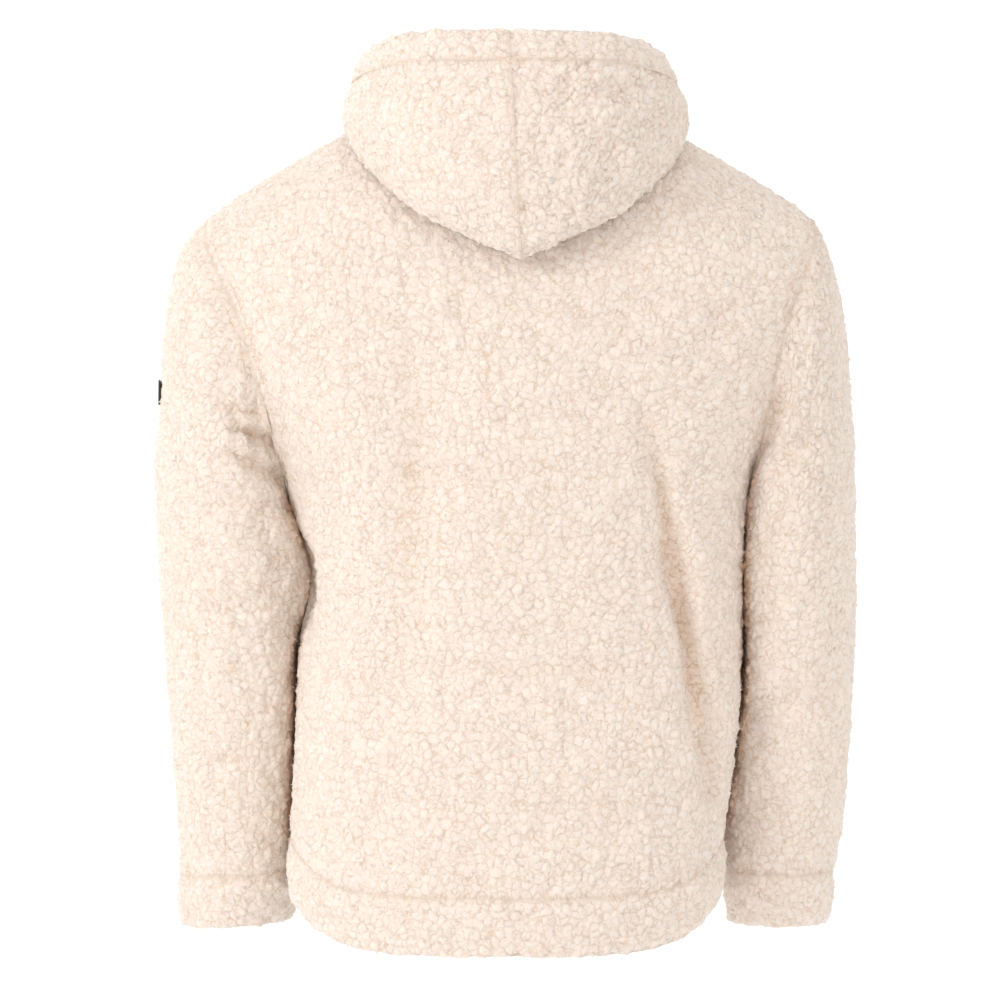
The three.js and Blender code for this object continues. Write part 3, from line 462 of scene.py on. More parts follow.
# %% One pattern for shape and colour
def pile_pattern(tree, position, clump):
    """Adds the clump nodes. Gives the pile's height, from 0 in a crack to 1, and the mask of the thin cracks."""
    combine = partial(calculate, tree)

    def noise(size, output="Fac"):
        looks = {"Scale": 1 / size, "Detail": 1.0, "Roughness": 0.55, "Vector": position}
        return lay(tree, "ShaderNodeTexNoise", looks, noise_dimensions="3D").outputs[output]

    def borders(size, place):
        looks = {"Scale": 1 / size, "Randomness": 1.0, "Vector": place}
        cells = lay(tree, "ShaderNodeTexVoronoi", looks, voronoi_dimensions="3D", feature="DISTANCE_TO_EDGE")
        return cells.outputs["Distance"]

    def eased(value, low, high, least):
        """A smooth rise from least to 1 as the value goes from low to high."""
        looks = {"Value": value, "From Min": low, "From Max": high, "To Min": least, "To Max": 1.0}
        return lay(tree, "ShaderNodeMapRange", looks, interpolation_type="SMOOTHSTEP").outputs["Result"]

    def near_border(distance, width):
        """1 on a border, falling to 0 at the width, as a share of a cell."""
        return combine("SUBTRACT", 1.0, combine("DIVIDE", distance, width, clamp=True))

    warped = position
    for size, reach in ((1.5 * clump, 1.0 * clump), (0.42 * clump, 0.62 * clump)):
        swing = calculate_vector(tree, "SUBTRACT", noise(size, "Color"), (0.5, 0.5, 0.5))
        swing = calculate_vector(tree, "MULTIPLY", swing, (reach, reach, reach))
        warped = calculate_vector(tree, "ADD", warped, swing)
    wide = borders(clump, warped)
    small = borders(0.52 * clump, warped)
    open_here = eased(noise(1.6 * clump), 0.36, 0.62, 0.6)
    dash = eased(noise(0.7 * clump), 0.42, 0.60, 0.1)
    hollow = combine("MULTIPLY", combine("POWER", near_border(wide, 0.34), 2.2), open_here)
    dimple = combine("MULTIPLY", combine("POWER", near_border(small, 0.3), 1.5), 0.3)
    height = combine("SUBTRACT", combine("SUBTRACT", 1.0, hollow), dimple, clamp=True)
    line = combine("MULTIPLY", near_border(wide, 0.08), dash)
    fine_line = combine("MULTIPLY", combine("MULTIPLY", near_border(small, 0.11), dash), 0.4)
    return height, combine("MAXIMUM", line, fine_line)


def named(tree, name, kind="FLOAT"):
    """The value that a mesh holds under this name."""
    return lay(tree, "GeometryNodeInputNamedAttribute", {"Name": name}, data_type=kind).outputs["Attribute"]


def stored(tree, cloth, name, kind, value):
    """The cloth with a value written on its points under this name."""
    inputs = {"Geometry": cloth, "Name": name, "Value": value}
    return lay(tree, "GeometryNodeStoreNamedAttribute", inputs, data_type=kind, domain="POINT").outputs[0]


def coated(tree, cloth, finish, chosen=True):
    """The cloth with a finish on its chosen faces."""
    inputs = {"Geometry": cloth, "Selection": chosen, "Material": finish}
    return lay(tree, "GeometryNodeSetMaterial", inputs).outputs[0]


def real_copies(tree, copies):
    """Instances made into one mesh."""
    return lay(tree, "GeometryNodeRealizeInstances", {0: copies}).outputs[0]


# %% Geometry tree that raises the pile
clump_size = 7.4 * mm
wave_scale, wave_middle, wave_gain = 76, 0.56, 3.0


def pile_tree():
    takes = [
        ("Cloth", "Geometry"), ("Crack depth", "Float"), ("Swell", "Float"), ("Shift", "Vector"),
        ("Pile", "Material"), ("Ground", "Material"),
    ]
    tree, entry, leave, inputs = new_tree("GeometryNodeTree", "raise pile", takes, [("Cloth", "Geometry")])
    combine = partial(calculate, tree)
    place = lay(tree, "GeometryNodeInputPosition").outputs[0]
    shifted = calculate_vector(tree, "ADD", place, entry.outputs["Shift"])
    cloth = stored(tree, entry.outputs["Cloth"], "rest", "FLOAT_VECTOR", shifted)
    height, _ = pile_pattern(tree, shifted, clump_size)
    cloth = stored(tree, cloth, "pile", "FLOAT", height)
    wave = lay(tree, "ShaderNodeTexNoise", {"Scale": wave_scale, "Detail": 2, "Vector": shifted}).outputs["Fac"]
    sunk = combine("MULTIPLY", combine("SUBTRACT", height, 1.0), entry.outputs["Crack depth"])
    rolling = combine("MULTIPLY", combine("SUBTRACT", wave, wave_middle), entry.outputs["Swell"])
    rolling = combine("MULTIPLY", rolling, wave_gain)
    push = combine("MULTIPLY", combine("ADD", sunk, rolling), named(tree, "cover"))
    ways = {0: named(tree, "outward", "FLOAT_VECTOR"), "Scale": push}
    offset = lay(tree, "ShaderNodeVectorMath", ways, operation="SCALE").outputs[0]
    cloth = lay(tree, "GeometryNodeSetPosition", {"Geometry": cloth, "Offset": offset}).outputs[0]
    cloth = coated(tree, real_copies(tree, cloth), entry.outputs["Ground"])
    cloth = coated(tree, cloth, entry.outputs["Pile"], named(tree, "piled_face"))
    feed(tree, leave.inputs[0], cloth)
    return tree, inputs


raise_pile, pile_inputs = pile_tree()
print("pile tree has", len(raise_pile.nodes), "nodes")

# %% [markdown]
# ## Finishes of the cloth
# The pile is matt, with a soft bright rim where its fibre ends catch the light, which Cycles' sheen gives. Its tops are
# cream, and a warm tan is painted into its hollows, cracks and seams as shade, because light that goes down between
# clumps comes back coloured. In a fold, and where an arm lies against the body, a warmer shade is painted in too: the
# attribute shade says how much. Fine curls are too small to be modelled, so they are a bump, laid over the same clumps
# that the geometry has.

# %% Shared effect: matted curls
def curl_group():
    """Fine curls over the clumps: gives a height and a tone that vary over the surface."""
    takes = [("Place", "Vector"), ("Curl size", "Float", 2.2 * mm)]
    gives = [("Height", "Float"), ("Tone", "Float")]
    group, entry, leave, _ = new_tree("ShaderNodeTree", "matted curls", takes, gives)
    place = entry.outputs["Place"]
    scale = calculate(group, "DIVIDE", 1.0, entry.outputs["Curl size"])
    looks = {"Scale": scale, "Detail": 3, "Roughness": 0.6, "Distortion": 1.4, "Vector": place}
    fine = lay(group, "ShaderNodeTexNoise", looks).outputs["Fac"]
    fold = calculate(group, "ABSOLUTE", calculate(group, "SUBTRACT", fine, 0.5))
    curl = lay(group, "ShaderNodeMapRange", {"From Max": 0.16, "Value": fold})
    broad = lay(group, "ShaderNodeTexNoise", {"Scale": 48, "Detail": 3, "Vector": place})
    feed(group, leave.inputs["Height"], curl.outputs["Result"])
    feed(group, leave.inputs["Tone"], broad.outputs["Fac"])
    return group


matted_curls = curl_group()


# %% Steps of a finish
def ramp(tree, value, stops):
    """The colour that goes with a value, through (position, colour) stops."""
    node = lay(tree, "ShaderNodeValToRGB", {"Fac": value})
    elements = node.color_ramp.elements
    while len(elements) < len(stops):
        elements.new(0.5)
    for element, (position, colour) in zip(elements, stops):
        element.position = position
        element.color = (*colour, 1)
    return node.outputs["Color"]


def mixed(tree, first, second, factor, blend="MIX"):
    """Two colours mixed by a factor."""
    inputs = {"Factor": factor, "A": first, "B": second}
    return lay(tree, "ShaderNodeMix", inputs, data_type="RGBA", blend_type=blend).outputs["Result"]


def attribute(tree, name, output="Fac"):
    """What the mesh holds under this name, for a shader."""
    return lay(tree, "ShaderNodeAttribute", attribute_name=name).outputs[output]


def bumped(tree, inputs):
    """The normal of a bump."""
    return lay(tree, "ShaderNodeBump", inputs).outputs["Normal"]


def curls_at(tree, place):
    """The matted curls at a place."""
    return lay(tree, "ShaderNodeGroup", {"Place": place}, node_tree=matted_curls).outputs


# %% Pile finish
# The attribute rest is the place that a point of the cloth had before its pile was raised.
# Painted shade: a tan in the cracks between clumps, and more of it where the attribute shade is painted.
crack_shade_colour = (0.60, 0.42, 0.29, 1)
# Painted shade: a tan line along each seam, where the pile rolls into a valley.
seam_shade_colour, seam_shade_share = (0.70, 0.52, 0.38, 1), 0.46
# Painted shade: a warm tint multiplied in where folds and closeness to a neighbour would shade the pile.
painted_shade_colour = (0.88, 0.68, 0.52, 1)
crack_shade_share, crack_shade_gain_in_shade = 0.46, 1.1


def pile_material():
    looks = {
        "Roughness": 0.95,
        "Specular IOR Level": 0.15,
        "Sheen Weight": 0.35,
        "Sheen Roughness": 0.55,
        "Sheen Tint": (1.0, 0.97, 0.93, 1),
        "Subsurface Weight": 0.25,
        "Subsurface Radius": (0.004, 0.003, 0.002),
        "Subsurface Scale": 1.0,
    }
    material, tree, shader = new_finish("curly pile", looks)
    combine = partial(calculate, tree)
    place = attribute(tree, "rest", "Vector")
    height, crack = pile_pattern(tree, place, clump_size)
    curls = curls_at(tree, place)
    # Painted shade: the cream is darker towards the hollows between clumps.
    creams_shaded_low = [(0.0, (0.80, 0.665, 0.56)), (0.45, (0.85, 0.742, 0.652)), (1.0, (0.87, 0.772, 0.69))]
    cream_shaded_low = ramp(tree, height, creams_shaded_low)
    patches = ramp(tree, curls["Tone"], [(0.3, (0.955, 0.945, 0.935)), (0.7, (1.0, 1.0, 1.0))])
    colour = mixed(tree, cream_shaded_low, patches, 1.0, "MULTIPLY")
    shade = attribute(tree, "shade")
    # Painted shade mixed into the colour: tan in the cracks, tan along the seams, and the warm shade of folds and
    # leaning.
    crack_shade = combine("MULTIPLY_ADD", shade, crack_shade_gain_in_shade, crack_shade_share)
    colour = mixed(tree, colour, crack_shade_colour, combine("MULTIPLY", crack, crack_shade))
    colour = mixed(tree, colour, seam_shade_colour, combine("MULTIPLY", attribute(tree, "groove"), seam_shade_share))
    colour = mixed(tree, colour, painted_shade_colour, shade, "MULTIPLY")
    coarse = bumped(tree, {"Height": height, "Distance": 1.0 * mm, "Strength": 0.45})
    fine = bumped(tree, {"Height": curls["Height"], "Distance": 0.35 * mm, "Strength": 0.7, "Normal": coarse})
    feed(tree, shader.inputs["Base Color"], colour)
    feed(tree, shader.inputs["Normal"], fine)
    return material


pile_finish = pile_material()


# %% Ground finish
def knit_material():
    """The knitted ground that the pile stands on, seen inside the garment: fine upright wales."""
    material, tree, shader = new_finish("knitted ground", {"Roughness": 0.9, "Sheen Weight": 0.2})
    place = attribute(tree, "rest", "Vector")
    bands = []
    for way, scale, bend in (("X", 120, 0.6), ("Z", 150, 0.8)):
        inputs = {"Scale": scale, "Distortion": bend, "Vector": place}
        bands.append(lay(tree, "ShaderNodeTexWave", inputs, wave_type="BANDS", bands_direction=way).outputs["Fac"])
    loops = calculate(tree, "MULTIPLY", *bands)
    colour = ramp(tree, loops, [(0.0, (0.80, 0.69, 0.57)), (1.0, (0.92, 0.83, 0.73))])
    feed(tree, shader.inputs["Base Color"], colour)
    feed(tree, shader.inputs["Normal"], bumped(tree, {"Height": loops, "Distance": 0.3 * mm}))
    return material


knit_finish = knit_material()
print("finishes:", pile_finish.name, "and", knit_finish.name)

# %% Pile ends: a tree that stands short fibre ends on the cloth
on_clump_tops = 0.72
end_sides = 5
full_turn = 6.2
rooted_at = -0.9 * mm
least_end, longest_end = 0.55, 1.3


def pile_ends_tree():
    takes = [
        ("Cloth", "Geometry"), ("Per square metre", "Float"), ("Length", "Float", 3.4 * mm),
        ("Radius", "Float", 0.7 * mm), ("Lean", "Float", 0.7), ("Seed", "Int"), ("Finish", "Material"),
    ]
    tree, entry, leave, inputs = new_tree("GeometryNodeTree", "stand pile ends", takes, [("Ends", "Geometry")])
    given = entry.outputs
    height = calculate(tree, "MULTIPLY", named(tree, "piled_face"), named(tree, "pile"))
    high = {"A": height, "B": on_clump_tops}
    chosen = lay(tree, "FunctionNodeCompare", high, data_type="FLOAT", operation="GREATER_THAN").outputs["Result"]
    density, seed = given["Per square metre"], given["Seed"]
    spread = {"Mesh": given["Cloth"], "Selection": chosen, "Density": density, "Seed": seed}
    roots = lay(tree, "GeometryNodeDistributePointsOnFaces", spread).outputs
    sizes = {"Vertices": end_sides, "Radius Top": 0.0, "Radius Bottom": given["Radius"], "Depth": given["Length"]}
    end = lay(tree, "GeometryNodeMeshCone", sizes).outputs["Mesh"]
    widest = lay(tree, "ShaderNodeCombineXYZ", {"X": given["Lean"], "Y": given["Lean"], "Z": full_turn}).outputs[0]
    least = calculate_vector(tree, "MULTIPLY", widest, (-1, -1, 0))
    span = {"Min": least, "Max": widest, "Seed": seed}
    tilt = lay(tree, "FunctionNodeRandomValue", span, data_type="FLOAT_VECTOR").outputs["Value"]
    turns = {"Rotation": roots["Rotation"], "Rotate By": tilt}
    turned = lay(tree, "FunctionNodeRotateRotation", turns, rotation_space="LOCAL").outputs[0]
    # inputs 2 and 3 are the least and the greatest of a number
    grow = lay(tree, "FunctionNodeRandomValue", {2: least_end, 3: longest_end}, data_type="FLOAT").outputs[1]
    rooted = lay(tree, "GeometryNodeTransform", {"Geometry": end, "Translation": (0, 0, rooted_at)}).outputs[0]
    copies = {"Points": roots["Points"], "Instance": rooted, "Rotation": turned, "Scale": grow}
    ends = lay(tree, "GeometryNodeInstanceOnPoints", copies).outputs[0]
    feed(tree, leave.inputs[0], coated(tree, real_copies(tree, ends), given["Finish"]))
    return tree, inputs


stand_ends, ends_inputs = pile_ends_tree()
print("pile ends tree has", len(stand_ends.nodes), "nodes")


# %% Finish of the pile ends
def ends_material():
    looks = {"Roughness": 0.9, "Specular IOR Level": 0.15, "Sheen Weight": 0.2}
    material, tree, shader = new_finish("pile ends", looks)
    tone = curls_at(tree, attribute(tree, "rest", "Vector"))["Tone"]
    colour = ramp(tree, tone, [(0.3, (0.83, 0.725, 0.62)), (0.7, (0.87, 0.77, 0.67))])
    feed(tree, shader.inputs["Base Color"], colour)
    return material


ends_finish = ends_material()
print("finish:", ends_finish.name)

# %% [markdown]
# ## Making a fleece piece
# Every solid is first welded, rounded and stepped finely, and where its edge meets a neighbour is noted. Then each
# piece is pressed in at its creases and seams and its pile is raised. At a seam both neighbours sink the same way,
# halfway between their own outward directions, so the seam stays closed even in a sharp valley such as an armpit.

# %% Measures of the cloth
seam_sink = 1.5 * mm
seam_reach = 5.5 * mm
seam_close = 0.7 * mm
seam_edge = 9 * mm
seam_bend = 9.0 * mm
sewn_gap = 1.5 * mm
loft = 0.9 * mm
flat_pile_width, flat_pile_share = 2.0 * mm, 0.75
seam_shade_width = 2.2 * mm
band_seam = 3 * mm
# Painted shade: the fold depth that gives full shade, its share on body and hood, and its reach, width and strength
# where a piece lies against another.
deep_fold, painted_fold_shade, painted_hood_fold_shade = 8 * mm, 0.36, 0.14
lean_reach, lean_width, painted_lean_shade = 14 * mm, 6 * mm, 0.95
ripple_ways = np.array([310.0, 270.0, 350.0]), np.array([-190.0, 240.0, 130.0])
pattern_shift = (0.37, 0.21, 0.44)
coarse_passes = [(4.9 * mm, 2), (3.05 * mm, 1)]
banded = {"hem_band", "cuff_left", "cuff_right", "hood_band_left", "hood_band_right"}


def face_arrays(mesh):
    """Places, faces' material indices and each loop's point and face, as arrays."""
    places = np.empty(len(mesh.vertices) * 3)
    mesh.vertices.foreach_get("co", places)
    kinds = np.empty(len(mesh.polygons), int)
    mesh.polygons.foreach_get("material_index", kinds)
    points = np.empty(len(mesh.loops), int)
    mesh.loops.foreach_get("vertex_index", points)
    sizes = np.empty(len(mesh.polygons), int)
    mesh.polygons.foreach_get("loop_total", sizes)
    owners = np.repeat(np.arange(len(mesh.polygons)), sizes)
    return places.reshape(-1, 3), kinds, points, owners


def summed(mesh, points, owners, chosen):
    """The mean outward direction at each point of the chosen faces, and which points those are."""
    normals = np.empty(len(mesh.polygons) * 3)
    mesh.polygons.foreach_get("normal", normals)
    normals = normals.reshape(-1, 3)
    total = np.zeros((len(mesh.vertices), 3))
    np.add.at(total, points[chosen], normals[owners[chosen]])
    lengths = np.linalg.norm(total, axis=1)
    there = lengths > 1e-9
    total[there] /= lengths[there, None]
    return total, there


def nearest(tree_places, asked):
    """For each asked place, the index of the nearest of the tree's places and its distance."""
    tree = place_tree(tree_places)
    found = [tree.find(place)[1:] for place in asked]
    return np.array([i for i, _ in found], int), np.array([d for _, d in found])


def bell(distance, width):
    """1 at no distance, falling smoothly away over the width."""
    return np.exp(-((distance / width) ** 2))


def closest_on(lines, places):
    """For each place, the nearest point on the straight pieces given by their two ends, and its distance."""
    starts, spans = lines[:, 0], lines[:, 1] - lines[:, 0]
    lengths = np.maximum((spans**2).sum(axis=1), 1e-12)
    found = np.empty_like(places)
    for i, place in enumerate(places):
        share = np.clip(((place - starts) * spans).sum(axis=1) / lengths, 0, 1)
        feet = starts + share[:, None] * spans
        found[i] = feet[((feet - place) ** 2).sum(axis=1).argmin()]
    return found, np.linalg.norm(found - places, axis=1)


# %% Round and step every solid, and find where it is sewn
rough = {}
borders = {}
border_lines = {}
for name in fleece_names:
    builder, area = in_quads(name)
    mesh = rounded(builder, name, 2, 0.2 if name in banded else 0.35)
    mesh = stepped(mesh, coarse_passes, {COVER, EDGE, LINING} if name in banded else {COVER})
    places, kinds, points, owners = face_arrays(mesh)
    normals, on_cover = summed(mesh, points, owners, kinds[owners] == COVER)
    _, on_rim = summed(mesh, points, owners, kinds[owners] == EDGE)
    border = on_cover & on_rim
    rough[name] = (mesh, area)
    borders[name] = (places[border], normals[border], np.flatnonzero(border))
    ends_of = np.empty(len(mesh.edges) * 2, int)
    mesh.edges.foreach_get("vertices", ends_of)
    ends_of = ends_of.reshape(-1, 2)
    sharp = np.array([edge.use_edge_sharp for edge in mesh.edges])
    border_lines[name] = places[ends_of[sharp & border[ends_of].all(axis=1)]]

shared = {}
meeting = {}
for name in fleece_names:
    own, own_normals, own_points = borders[name]
    others = [n for n in fleece_names if n != name]
    other = np.concatenate([borders[n][0] for n in others])
    other_normals = np.concatenate([borders[n][1] for n in others])
    which, gap = nearest(other, own)
    joined = gap < sewn_gap + 1.6 * mm
    both_ways = own_normals[joined] + other_normals[which[joined]]
    flatness = np.clip((own_normals[joined] * other_normals[which[joined]]).sum(axis=1), 0.1, 1)
    both_ways /= np.linalg.norm(both_ways, axis=1)[:, None]
    shared[name] = (own[joined], both_ways, flatness)
    feet, apart = closest_on(np.concatenate([border_lines[n] for n in others]), own)
    close = apart < sewn_gap + 0.6 * mm
    meeting[name] = (own_points[close], 0.5 * (own[close] + feet[close]))
    print(name, "faces", len(rough[name][0].polygons), "sewn border points", int(joined.sum()))


# %% What each piece may lean on
# Closeness to these decides where shade is painted where a piece lies against another.
arms, trunk = ["sleeve_left", "sleeve_right"], ["back", "front_left", "front_right"]
against_body, against_arms = solid_tree(trunk), solid_tree(arms)
nestled = {name: against_body for name in arms + ["hood_left", "hood_right"]}
nestled.update({name: against_arms for name in trunk})

# %% Fleece maker
ends_per_area = 36000.0


def write(mesh, name, values, kind="FLOAT", domain="POINT"):
    """Writes values on a mesh under a name."""
    field = "vector" if kind == "FLOAT_VECTOR" else "value"
    mesh.attributes.new(name, kind, domain).data.foreach_set(field, values.ravel())


def pile_ends(piece, name):
    """Stands fibre ends on a finished piece of cloth, as a piece of their own."""
    ends = placed(name + "_pile_ends", piece.data.copy())
    values = {"Seed": len(name) + 7, "Finish": ends_finish, "Per square metre": ends_per_area}
    run_tree(ends, stand_ends, ends_inputs, values)
    settle(ends).shade_smooth()
    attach(ends, "garment")
    return ends


def painted_shade(name, kind, places, folds, near_seam):
    """How much shade is painted into the pile's colour: in the folds, and where the piece lies near what it leans on.
    """
    shade = np.clip(folds / deep_fold, 0, 1) ** 1.5 * (painted_hood_fold_shade if name.startswith("hood") else painted_fold_shade)
    if kind is not None:
        for i in np.flatnonzero(~near_seam):
            hit = nestled[name].find_nearest(Vector(places[i]), lean_reach)
            if hit[0] is not None:
                shade[i] = max(shade[i], painted_lean_shade * math.exp(-((hit[3] / lean_width) ** 2)))
    return shade


def fleece(name, creases=(), kind=None, split=0.0, depth=1.8, swell=2.2):
    """Makes the piece that stands for the solid of this name."""
    mesh, area = rough[name]
    places, kinds, points, owners = face_arrays(mesh)
    met, halfway = meeting[name]
    places[met] = halfway
    on_cover, on_edge, on_lining = (kinds[owners] == kind_of for kind_of in (COVER, EDGE, LINING))
    cover_normals, cover_points = summed(mesh, points, owners, on_cover)
    edge_normals, edge_points = summed(mesh, points, owners, on_edge)
    lining_normals, lining_points = summed(mesh, points, owners, on_lining)
    seam_places, seam_ways, flatness = shared[name]
    which, distance = nearest(seam_places, places)
    nearness = bell(distance, seam_bend)[:, None] * cover_points[:, None]
    directions = cover_normals * (1 - nearness) + seam_ways[which] * nearness
    if name in banded:
        every, _ = summed(mesh, points, owners, on_cover | on_edge | on_lining)
        directions = np.where((cover_points & ~lining_points)[:, None], directions, every)
    directions /= np.maximum(np.linalg.norm(directions, axis=1), 1e-9)[:, None]

    folds = pressed_in(places, creases, kind, split)
    ripple = np.sin(places @ ripple_ways[0]) * np.sin(places @ ripple_ways[1])
    roll = seam_sink * (0.75 + 0.5 * ripple) * bell(distance, seam_reach)
    pressed = folds + (flatness[which] * roll - loft)
    places -= directions * (pressed * cover_points)[:, None]
    places += lining_normals * (folds * (lining_points & ~cover_points))[:, None]
    places += edge_normals * (seam_close * (edge_points & (distance < seam_edge)))[:, None]
    mesh.vertices.foreach_set("co", places.ravel())

    cover = cover_points.astype(float)
    if name in banded:
        cover = np.where(cover_points | (distance > band_seam), 1.0, 0.0)
    cover *= 1 - flat_pile_share * bell(distance, flat_pile_width)
    near_seam = ~(cover_points & (distance > lean_width))
    shade = painted_shade(name, kind, places, folds, near_seam)
    piled = {COVER, EDGE, LINING} if name in banded else {COVER, EDGE}
    write(mesh, "cover", cover)
    write(mesh, "outward", directions, "FLOAT_VECTOR")
    # Painted shade for the pile's colour: the shade of folds and leaning, and the tan line along seams.
    write(mesh, "shade", shade * cover_points)
    write(mesh, "groove", bell(distance, seam_shade_width) * cover_points)
    write(mesh, "piled_face", np.isin(kinds, list(piled)).astype(float), domain="FACE")
    mesh.shade_smooth()
    mesh.update()
    mesh.materials.clear()

    piece = placed(name + "_cloth", mesh)
    values = {"Crack depth": depth * mm, "Swell": swell * mm, "Shift": pattern_shift}
    run_tree(piece, raise_pile, pile_inputs, {**values, "Pile": pile_finish, "Ground": knit_finish})
    raised = settle(piece)
    raised.shade_smooth()
    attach(piece, "garment")
    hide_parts(name)
    ends = pile_ends(piece, name)
    print(name, "triangles", triangles(raised), triangles(ends.data), "cover area", round(area, 4), "m2")
    return piece, area


# %% [markdown]
# ## The body
# The back is one panel, and each front is one. They meet at the shoulder and side seams.

# %% Body panels
made = {}
made["back"] = fleece("back", body_creases, "back")
made["front_left"] = fleece("front_left", body_creases, "front")
made["front_right"] = fleece("front_right", body_creases, "front")

# %% [markdown]
# ## Sleeves, cuffs and hem
# A sleeve is one closed tube. The cuffs and the hem are bands of the same cloth folded double, so both of their faces
# carry pile.

# %% Sleeves
made["sleeve_left"] = fleece("sleeve_left", sleeve_creases, "left", split=-0.02)
made["sleeve_right"] = fleece("sleeve_right", sleeve_creases, "right", split=-0.02)

# %% Bands
for name in ("hem_band", "cuff_left", "cuff_right"):
    made[name] = fleece(name)

# %% [markdown]
# ## The hood
# Two halves meet at the seam down the middle, and a folded band edges them.

# %% Hood
made["hood_left"] = fleece("hood_left", hood_creases, "back", depth=2.0, swell=2.4)
made["hood_right"] = fleece("hood_right", hood_creases, "back", depth=2.6, swell=2.8)
for name in ("hood_band_left", "hood_band_right"):
    made[name] = fleece(name, depth=2.2, swell=2.6)

# %% [markdown]
# ## Repeated small parts
# Zip teeth and stitches are each one small shape repeated along a path. A path gives every place its turn, and one
# tree stands a copy of the shape there.

# %% A tree that repeats a shape
def repeat_tree():
    takes = [("Places", "Geometry"), ("Shape", "Object"), ("Finish", "Material")]
    tree, entry, leave, inputs = new_tree("GeometryNodeTree", "repeat a shape", takes, [("Row", "Geometry")])
    one = lay(tree, "GeometryNodeObjectInfo", {"Object": entry.outputs["Shape"]}).outputs["Geometry"]
    spin = lay(tree, "FunctionNodeEulerToRotation", {0: named(tree, "turn", "FLOAT_VECTOR")}).outputs[0]
    points = lay(tree, "GeometryNodeMeshToPoints", {"Mesh": entry.outputs["Places"]}).outputs[0]
    stand = lay(tree, "GeometryNodeInstanceOnPoints", {"Points": points, "Instance": one, "Rotation": spin}).outputs[0]
    feed(tree, leave.inputs[0], coated(tree, real_copies(tree, stand), entry.outputs["Finish"]))
    return tree, inputs


repeat, repeat_inputs = repeat_tree()


def row(name, places, turns, shape, finish, slot):
    """A piece with a copy of the shape at every place, turned as given."""
    mesh = bpy.data.meshes.new(name)
    mesh.from_pydata([tuple(place) for place in places], [], [])
    write(mesh, "turn", np.array([turn.to_euler()[:] for turn in turns]), "FLOAT_VECTOR")
    piece = placed(name, mesh)
    run_tree(piece, repeat, repeat_inputs, {"Shape": shape, "Finish": finish})
    whole = settle(piece)
    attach(piece, "garment")
    print(name, "repeats", len(places), "triangles", triangles(whole))
    return piece


def walk(path, pitch):
    """Places along a path at an even pitch, with the direction of travel at each."""
    path = [Vector(p) for p in path]
    found, start = [], pitch / 2
    for here, there in zip(path, path[1:]):
        leg = (there - here).length
        while start <= leg:
            found.append((here.lerp(there, start / leg), (there - here).normalized()))
            start += pitch
        start -= leg
    return found


def facing(along, outward):
    """The turn that takes X across, Y outward and Z along the path."""
    across = outward.cross(along).normalized()
    out = along.cross(across).normalized()
    return Matrix((across, out, along)).transposed()


print("repeat tree has", len(repeat.nodes), "nodes")

# %% [markdown]
# ## Finishes of the small parts
# The zip's tape and the label are woven, its teeth are moulded resin and its slider is cast metal with a satin
# surface.

# %% Woven, resin and metal finishes
def plain_material(name, colour, roughness, metallic=0.0):
    return new_finish(name, {"Base Color": (*colour, 1), "Roughness": roughness, "Metallic": metallic})[0]


def relief(material, texture, scale, distance):
    """Gives a material a fine bump from a texture node."""
    tree = material.node_tree
    place = lay(tree, "ShaderNodeTexCoord").outputs["Object"]
    pattern = lay(tree, texture, {"Scale": scale, "Vector": place})
    bump = bumped(tree, {"Height": pattern.outputs["Fac"], "Distance": distance, "Strength": 0.6})
    feed(tree, tree.nodes["Principled BSDF"].inputs["Normal"], bump)
    return pattern


def woven_material(name, light, dark):
    """Fine slanting ribs, as on a woven tape."""
    material = plain_material(name, light, 0.8)
    ribs = relief(material, "ShaderNodeTexWave", 260, 0.15 * mm)
    ribs.bands_direction = "DIAGONAL"
    ribs.inputs["Distortion"].default_value = 0.4
    tree = material.node_tree
    shader = tree.nodes["Principled BSDF"]
    feed(tree, shader.inputs["Base Color"], ramp(tree, ribs.outputs["Fac"], [(0.2, dark), (0.8, light)]))
    shader.inputs["Sheen Weight"].default_value = 0.15
    return material


tape_finish = woven_material("woven tape", (0.80, 0.70, 0.58), (0.66, 0.56, 0.45))
label_finish = woven_material("woven label", (0.035, 0.034, 0.036), (0.012, 0.012, 0.013))
thread_finish = plain_material("sewing thread", (0.82, 0.72, 0.60), 0.7)
dark_thread = plain_material("dark thread", (0.05, 0.05, 0.052), 0.6)
resin_finish = plain_material("moulded resin", (0.78, 0.67, 0.54), 0.38)
relief(resin_finish, "ShaderNodeTexNoise", 900, 0.03 * mm)
metal_finish = plain_material("satin metal", (0.62, 0.60, 0.58), 0.32, 1.0)
relief(metal_finish, "ShaderNodeTexNoise", 1400, 0.02 * mm)
print("finishes:", tape_finish.name, label_finish.name, resin_finish.name, metal_finish.name)

# %% [markdown]
# ## The zip
# The tapes are thin woven strips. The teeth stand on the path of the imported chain, at a pitch of 1.45 mm and from
# alternate sides, and each has a neck and a head that the next two hold.

# %% Zip tapes
def soft_copy(name, finish, levels):
    """A thin strip made from its solid: welded, its faces curved and its edges kept crisp."""
    builder = welded(name)
    turn = math.radians(20)
    flat = math.radians(40)
    bmesh.ops.join_triangles(builder, faces=builder.faces, angle_face_threshold=turn, angle_shape_threshold=flat)
    crease = builder.edges.layers.float.new("crease_edge")
    for edge in builder.edges:
        if edge.calc_face_angle(0) > math.radians(50):
            edge[crease] = 0.9
    piece = placed(name + "_cloth", mesh_from(builder, name))
    subdivide(piece, levels)
    smooth = settle(piece)
    smooth.materials.clear()
    smooth.materials.append(finish)
    smooth.shade_smooth()
    smooth.set_sharp_from_angle(angle=math.radians(45))
    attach(piece, "garment")
    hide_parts(name)
    return piece


tapes = {side: soft_copy("zip_tape_" + side, tape_finish, 2) for side in ("left", "right")}
print("tapes:", [len(tape.data.polygons) for tape in tapes.values()])


